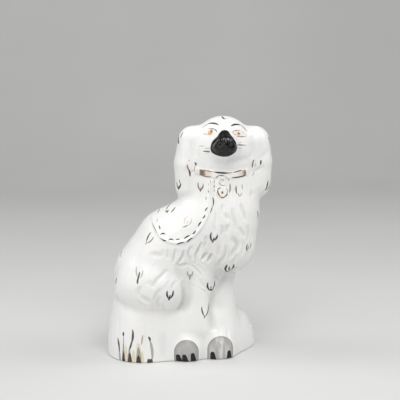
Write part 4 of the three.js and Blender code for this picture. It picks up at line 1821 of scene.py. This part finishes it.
    def glaze(self, graph: Graph, where: object) -> tuple[bpy.types.NodeSocket, bpy.types.NodeSocket]:
        """Lays the clear glaze over the white body, greyed with painted shade in the cuts and creases.

        Args:
            graph: The material's nodes.
            where: Coordinates on the object.

        Returns:
            The colour and the roughness.
        """
        colour = graph.mix(self.whiteness.fade(graph, where), self.white, self.cool_white)
        # painted shade: the glaze is greyed where the relief is cut in and where creases close the skin in
        hollow = graph.read("hollow").outputs["Fac"]
        shelter = graph.ramp(graph.read("shelter").outputs["Fac"], *self.shelter_range)
        painted_crease_shade = graph.math("MULTIPLY", graph.math("MAXIMUM", hollow, shelter), self.crease_shade_strength)
        colour = graph.mix(painted_crease_shade, colour, self.crease_shade_grey)
        crackle = graph.add("ShaderNodeTexVoronoi", feature="DISTANCE_TO_EDGE")
        graph.feed(crackle.inputs["Vector"], where)
        crackle.inputs["Scale"].default_value = self.crackle_scale
        line = graph.ramp(crackle.outputs["Distance"], self.crackle_line, 0.0)
        line = graph.math("MULTIPLY", line, self.crackle_strength)
        colour = graph.mix(line, colour, self.crackle_brown)
        speck = graph.math("MULTIPLY", self.specks.fade(graph, where), self.speck_strength)
        colour = graph.mix(speck, colour, self.speck_brown)
        rough = graph.blend(self.sheen.fade(graph, where), *self.sheen_rough)
        return colour, graph.blend(hollow, rough, self.hollow_rough)

    def enamel(self, graph: Graph, where: object, colour: object, rough: object
               ) -> tuple[bpy.types.NodeSocket, bpy.types.NodeSocket]:
        """Fills in the nose, the claws, the paws and the collar.

        Args:
            graph: The material's nodes.
            where: Coordinates on the object.
            colour: The colour below.
            rough: The roughness below.

        Returns:
            The colour and the roughness with them on top.
        """
        paws = graph.read("paws").outputs["Fac"]
        streak = graph.add("ShaderNodeMapping")
        graph.feed(streak.inputs["Vector"], where)
        streak.inputs["Scale"].default_value = self.streak_stretch
        streaks = self.paw_streaks.fade(graph, streak.outputs[0])
        place = graph.add("ShaderNodeSeparateXYZ")
        graph.feed(place.inputs[0], where)
        uneven = graph.math("MULTIPLY", streaks, graph.ramp(place.outputs[0], *self.streaks_over))
        grey = graph.mix(uneven, self.paw_grey, self.paw_light)
        # the cap's dark painted outline, and painted shade that darkens the grey towards the cap's edge
        rim = graph.math("MULTIPLY", graph.ramp(paws, *self.paw_rim_depth), self.paw_rim_strength)
        shade = graph.math("MULTIPLY", graph.ramp(paws, *self.paw_shade_depth), self.paw_shade_strength)
        grey = graph.mix(graph.math("MAXIMUM", rim, shade), grey, self.paw_outline_and_shade_dark)
        colour = graph.mix(graph.ramp(paws, *self.paw_edge), colour, grey)
        colour = self.strap(graph, where, place.outputs[0], colour)
        worry = self.nose_worry.sway(graph, where, self.nose_worry_depth)
        nose = graph.math("ADD", graph.read("nose").outputs["Fac"], worry)
        inside = graph.ramp(nose, *self.nose_edge)
        claws = graph.ramp(graph.read("claws").outputs["Fac"], *self.claw_edge)
        inside = graph.math("MAXIMUM", inside, claws)
        return graph.mix(inside, colour, self.nose_black), graph.blend(inside, rough, self.nose_rough)

    def strap(self, graph: Graph, where: object, across: object, colour: object
              ) -> bpy.types.NodeSocket:
        """Lays the collar's lustre, strongest at its two ends.

        Args:
            graph: The material's nodes.
            where: Coordinates on the object.
            across: The coordinate across the figure.
            colour: The colour below.

        Returns:
            The colour with the lustre on top.
        """
        depth = graph.read("strap").outputs["Fac"]
        patchy = self.strap_wear.sway(graph, where, self.strap_wear_depth)
        from_end = graph.math("SUBTRACT", graph.math("ADD", across, patchy), self.strap_from)
        run = graph.math("DIVIDE", from_end, self.strap_length)
        strength = graph.levels(run, self.strap_strength)
        lustre = graph.palette(strength, self.strap_palette)
        edge = graph.math("MULTIPLY", graph.ramp(depth, *self.strap_rim_depth), self.strap_rim_strength)
        lustre = graph.mix(edge, lustre, self.strap_rim)
        line = graph.math("MULTIPLY", graph.ramp(depth, *self.strap_line_depth), self.strap_line_cover)
        cover = graph.math("MAXIMUM", graph.ramp(strength, *self.strap_cover), line)
        cover = graph.math("MULTIPLY", cover, graph.ramp(depth, *self.strap_edge))
        return graph.mix(cover, colour, lustre)

    def brushwork(self, graph: Graph, where: object, slot: int, colour: object, metal: object,
                  rough: object) -> tuple[object, object, object]:
        """Lays one slot of brush strokes over what is already there.

        Args:
            graph: The material's nodes.
            where: Coordinates on the object.
            slot: Which of the stored strokes.
            colour: The colour below.
            metal: The metal below.
            rough: The roughness below.

        Returns:
            The colour, metal and roughness with the stroke on top.
        """
        parts = graph.add("ShaderNodeSeparateXYZ")
        graph.feed(parts.inputs[0], graph.read(f"brush_{slot}").outputs["Vector"])
        u, q, tone = parts.outputs
        along = graph.math("MULTIPLY", graph.math("MULTIPLY", u, 4.0), graph.math("SUBTRACT", 1.0, u))
        wander = self.stroke_edge.sway(graph, where, self.stroke_edge_depth)
        depth = graph.math("ADD", graph.math("SUBTRACT", along, graph.math("MULTIPLY", q, q)), wander)
        cover = graph.ramp(depth, *self.stroke_fade)
        lustre = graph.ramp(tone, *self.lustre_until)
        thin = self.stroke_body.sway(graph, where, self.stroke_body_depth)
        shifted = graph.math("ADD", tone, graph.math("MULTIPLY", thin, lustre), clamp=True)
        ceiling = graph.blend(lustre, 1.0, self.lustre_ceiling)
        paint = graph.palette(graph.math("MINIMUM", shifted, ceiling), self.palette)
        body = graph.levels(tone, self.coverage)
        strength = graph.math("MULTIPLY", cover, body)
        colour = graph.mix(strength, colour, paint)
        metal = graph.blend(cover, metal, graph.math("MULTIPLY", lustre, self.stroke_metal))
        return colour, metal, graph.blend(cover, rough, self.stroke_rough)

    def foot(self, graph: Graph, where: object, colour: object, rough: object) -> tuple[object, object]:
        """Wipes the glaze off the underside.

        Args:
            graph: The material's nodes.
            where: Coordinates on the object.
            colour: The colour below.
            rough: The roughness below.

        Returns:
            The colour and the roughness with bare clay below.
        """
        height = graph.add("ShaderNodeSeparateXYZ")
        graph.feed(height.inputs[0], where)
        uneven = graph.math("MULTIPLY", self.wipe_edge.plain(graph, where), self.wipe_unevenness)
        wiped = graph.ramp(graph.math("ADD", height.outputs[2], uneven), *self.wiped_below)
        clay = graph.mix(self.grain.plain(graph, where), self.biscuit, self.biscuit_grain)
        return graph.mix(wiped, colour, clay), graph.blend(wiped, rough, self.biscuit_rough)

    def skin(self, graph: Graph, where: object) -> bpy.types.NodeSocket:
        """Makes the faint unevenness of the glaze.

        Args:
            graph: The material's nodes.
            where: Coordinates on the object.

        Returns:
            The surface direction.
        """
        bump = graph.add("ShaderNodeBump")
        bump.inputs["Strength"].default_value = self.bump_strength
        bump.inputs["Distance"].default_value = self.bump_height
        ripple = graph.math("MULTIPLY", self.ripple.plain(graph, where), self.ripple_share)
        height = graph.math("ADD", self.swell.plain(graph, where), ripple)
        graph.feed(bump.inputs["Height"], height)
        return bump.outputs["Normal"]


@dataclass(frozen=True)
class Floor:
    """A plain pale floor that rises softly behind the figure."""

    tint: Rgba = (0.66, 0.66, 0.655, 1.0)
    lighter_tint: Rgba = (0.68, 0.68, 0.675, 1.0)
    cloud: Cloud = Cloud(3.0, 2.0, 0.3, 0.7)
    rough: float = 0.7
    width: float = 5.0
    front: float = -3.0
    bend_at: float = 1.2
    bend_radius: float = 0.8
    bend_steps: int = 16
    wall: float = 2.2

    def build(self) -> bpy.types.Object:
        """Makes the floor and gives it its finish.

        Returns:
            The floor's object.
        """
        profile = [(self.front, 0.0), (self.bend_at, 0.0)]
        for k in range(1, self.bend_steps + 1):
            turn = k / self.bend_steps * math.pi / 2
            back = self.bend_at + self.bend_radius * math.sin(turn)
            profile.append((back, self.bend_radius * (1 - math.cos(turn))))
        profile.append((self.bend_at + self.bend_radius, self.wall))
        vertices = [(x, y, z) for y, z in profile for x in (-self.width / 2, self.width / 2)]
        faces = [(2 * i, 2 * i + 1, 2 * i + 3, 2 * i + 2) for i in range(len(profile) - 1)]
        mesh = bpy.data.meshes.new("studio_floor")
        mesh.from_pydata(vertices, [], faces)
        mesh.polygons.foreach_set("use_smooth", [True] * len(faces))
        floor = bpy.data.objects.new("studio_floor", mesh)
        bpy.context.collection.objects.link(floor)
        self.dress(floor)
        return floor

    def dress(self, floor: bpy.types.Object) -> None:
        """Gives the floor its matte pale finish.

        Args:
            floor: The floor's object.
        """
        material = bpy.data.materials.new("pale_floor")
        material.use_nodes = True
        graph = Graph(material.node_tree)
        shader = material.node_tree.nodes["Principled BSDF"]
        where = graph.add("ShaderNodeTexCoord").outputs["Object"]
        tone = graph.mix(self.cloud.fade(graph, where), self.tint, self.lighter_tint)
        graph.feed(shader.inputs["Base Color"], tone)
        shader.inputs["Roughness"].default_value = self.rough
        floor.data.materials.append(material)


@dataclass(frozen=True)
class Studio:
    """Soft boxes in front, above and to both sides, and the photograph's viewpoint."""

    camera_at: Point = (-0.0907, -1.2968, 0.420)
    looks_at: Point = (0.0135, 0.0, 0.1912)
    lens: float = 96.95
    sensor: float = 36.0
    lit_place: Point = (0.0, 0.0, 0.15)
    air: float = 0.22
    # each soft box: name, place, side length and power
    boxes: tuple[tuple[str, Point, float, float], ...] = (
        ("side_light", (-1.9, -0.3, 0.6), 1.4, 3.5),
        ("left_light", (-1.4, -1.3, 0.5), 1.4, 7.5),
        ("top_front_light", (0.0, -0.9, 1.8), 1.4, 22.0),
        ("right_light", (1.8, -0.2, 0.8), 1.4, 3.5),
        ("front_fill", (0.5, -1.5, 1.3), 1.4, 5.0),
        ("left_sparkle", (-0.95, 0.12, 1.25), 0.5, 4.5),
        ("right_sparkle", (1.0, -0.1, 1.2), 0.5, 4.5),
    )

    def soft_box(self, name: str, at: Point, size: float, power: float) -> None:
        """Hangs one square soft light, turned to the figure.

        Args:
            name: What it is called.
            at: Where it hangs, in metres.
            size: The length of its side, in metres.
            power: Its power, in watts.
        """
        light = bpy.data.lights.new(name, "AREA")
        light.shape = "SQUARE"
        light.size = size
        light.energy = power
        lamp = bpy.data.objects.new(name, light)
        bpy.context.collection.objects.link(lamp)
        self.turn(lamp, at, self.lit_place)

    def turn(self, thing: bpy.types.Object, at: Point, aim: Point) -> None:
        """Puts a lamp or camera in place and turns it to a point.

        Args:
            thing: The lamp or camera.
            at: Its place, in metres.
            aim: The point.
        """
        thing.location = at
        heading = Vector(aim) - Vector(at)
        thing.rotation_euler = heading.to_track_quat("-Z", "Y").to_euler()

    def build(self) -> None:
        """Hangs the lights and sets up the camera."""
        for name, at, size, power in self.boxes:
            self.soft_box(name, at, size, power)
        world = bpy.data.worlds.new("studio_air")
        world.use_nodes = True
        glow = world.node_tree.nodes["Background"]
        glow.inputs["Color"].default_value = (1.0, 1.0, 1.0, 1.0)
        glow.inputs["Strength"].default_value = self.air
        bpy.context.scene.world = world
        lens = bpy.data.cameras.new("photograph_view")
        lens.lens = self.lens
        lens.sensor_width = self.sensor
        camera = bpy.data.objects.new("photograph_view", lens)
        bpy.context.collection.objects.link(camera)
        shift = FRAME_SHIFT * MM
        at = tuple(a + b for a, b in zip(self.camera_at, shift))
        aim = tuple(a + b for a, b in zip(self.looks_at, shift))
        self.turn(camera, at, aim)
        bpy.context.scene.camera = camera
        bpy.context.scene.view_settings.view_transform = "Standard"


def main() -> None:
    """Builds the figure, its decoration, the floor and the studio, in that order."""
    logging.basicConfig(level=logging.INFO, format="%(message)s")
    shape = Figure()
    figure = shape.build()
    LOG.info("glazed_spaniel: %d faces", len(figure.data.polygons))
    painter = Painter(shape)
    Decoration().lay(painter)
    painted = painter.store(figure.data)
    LOG.info("brushwork: %d strokes on %d faces", len(painter.strokes), painted)
    Enamels().lay(figure.data)
    GlazedEarthenware().dress(figure)
    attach(figure, "root")
    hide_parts("dog_figure")
    Floor().build()
    LOG.info("studio_floor: laid")
    Studio().build()
    LOG.info("studio: lit")


if __name__ == "__main__":
    main()
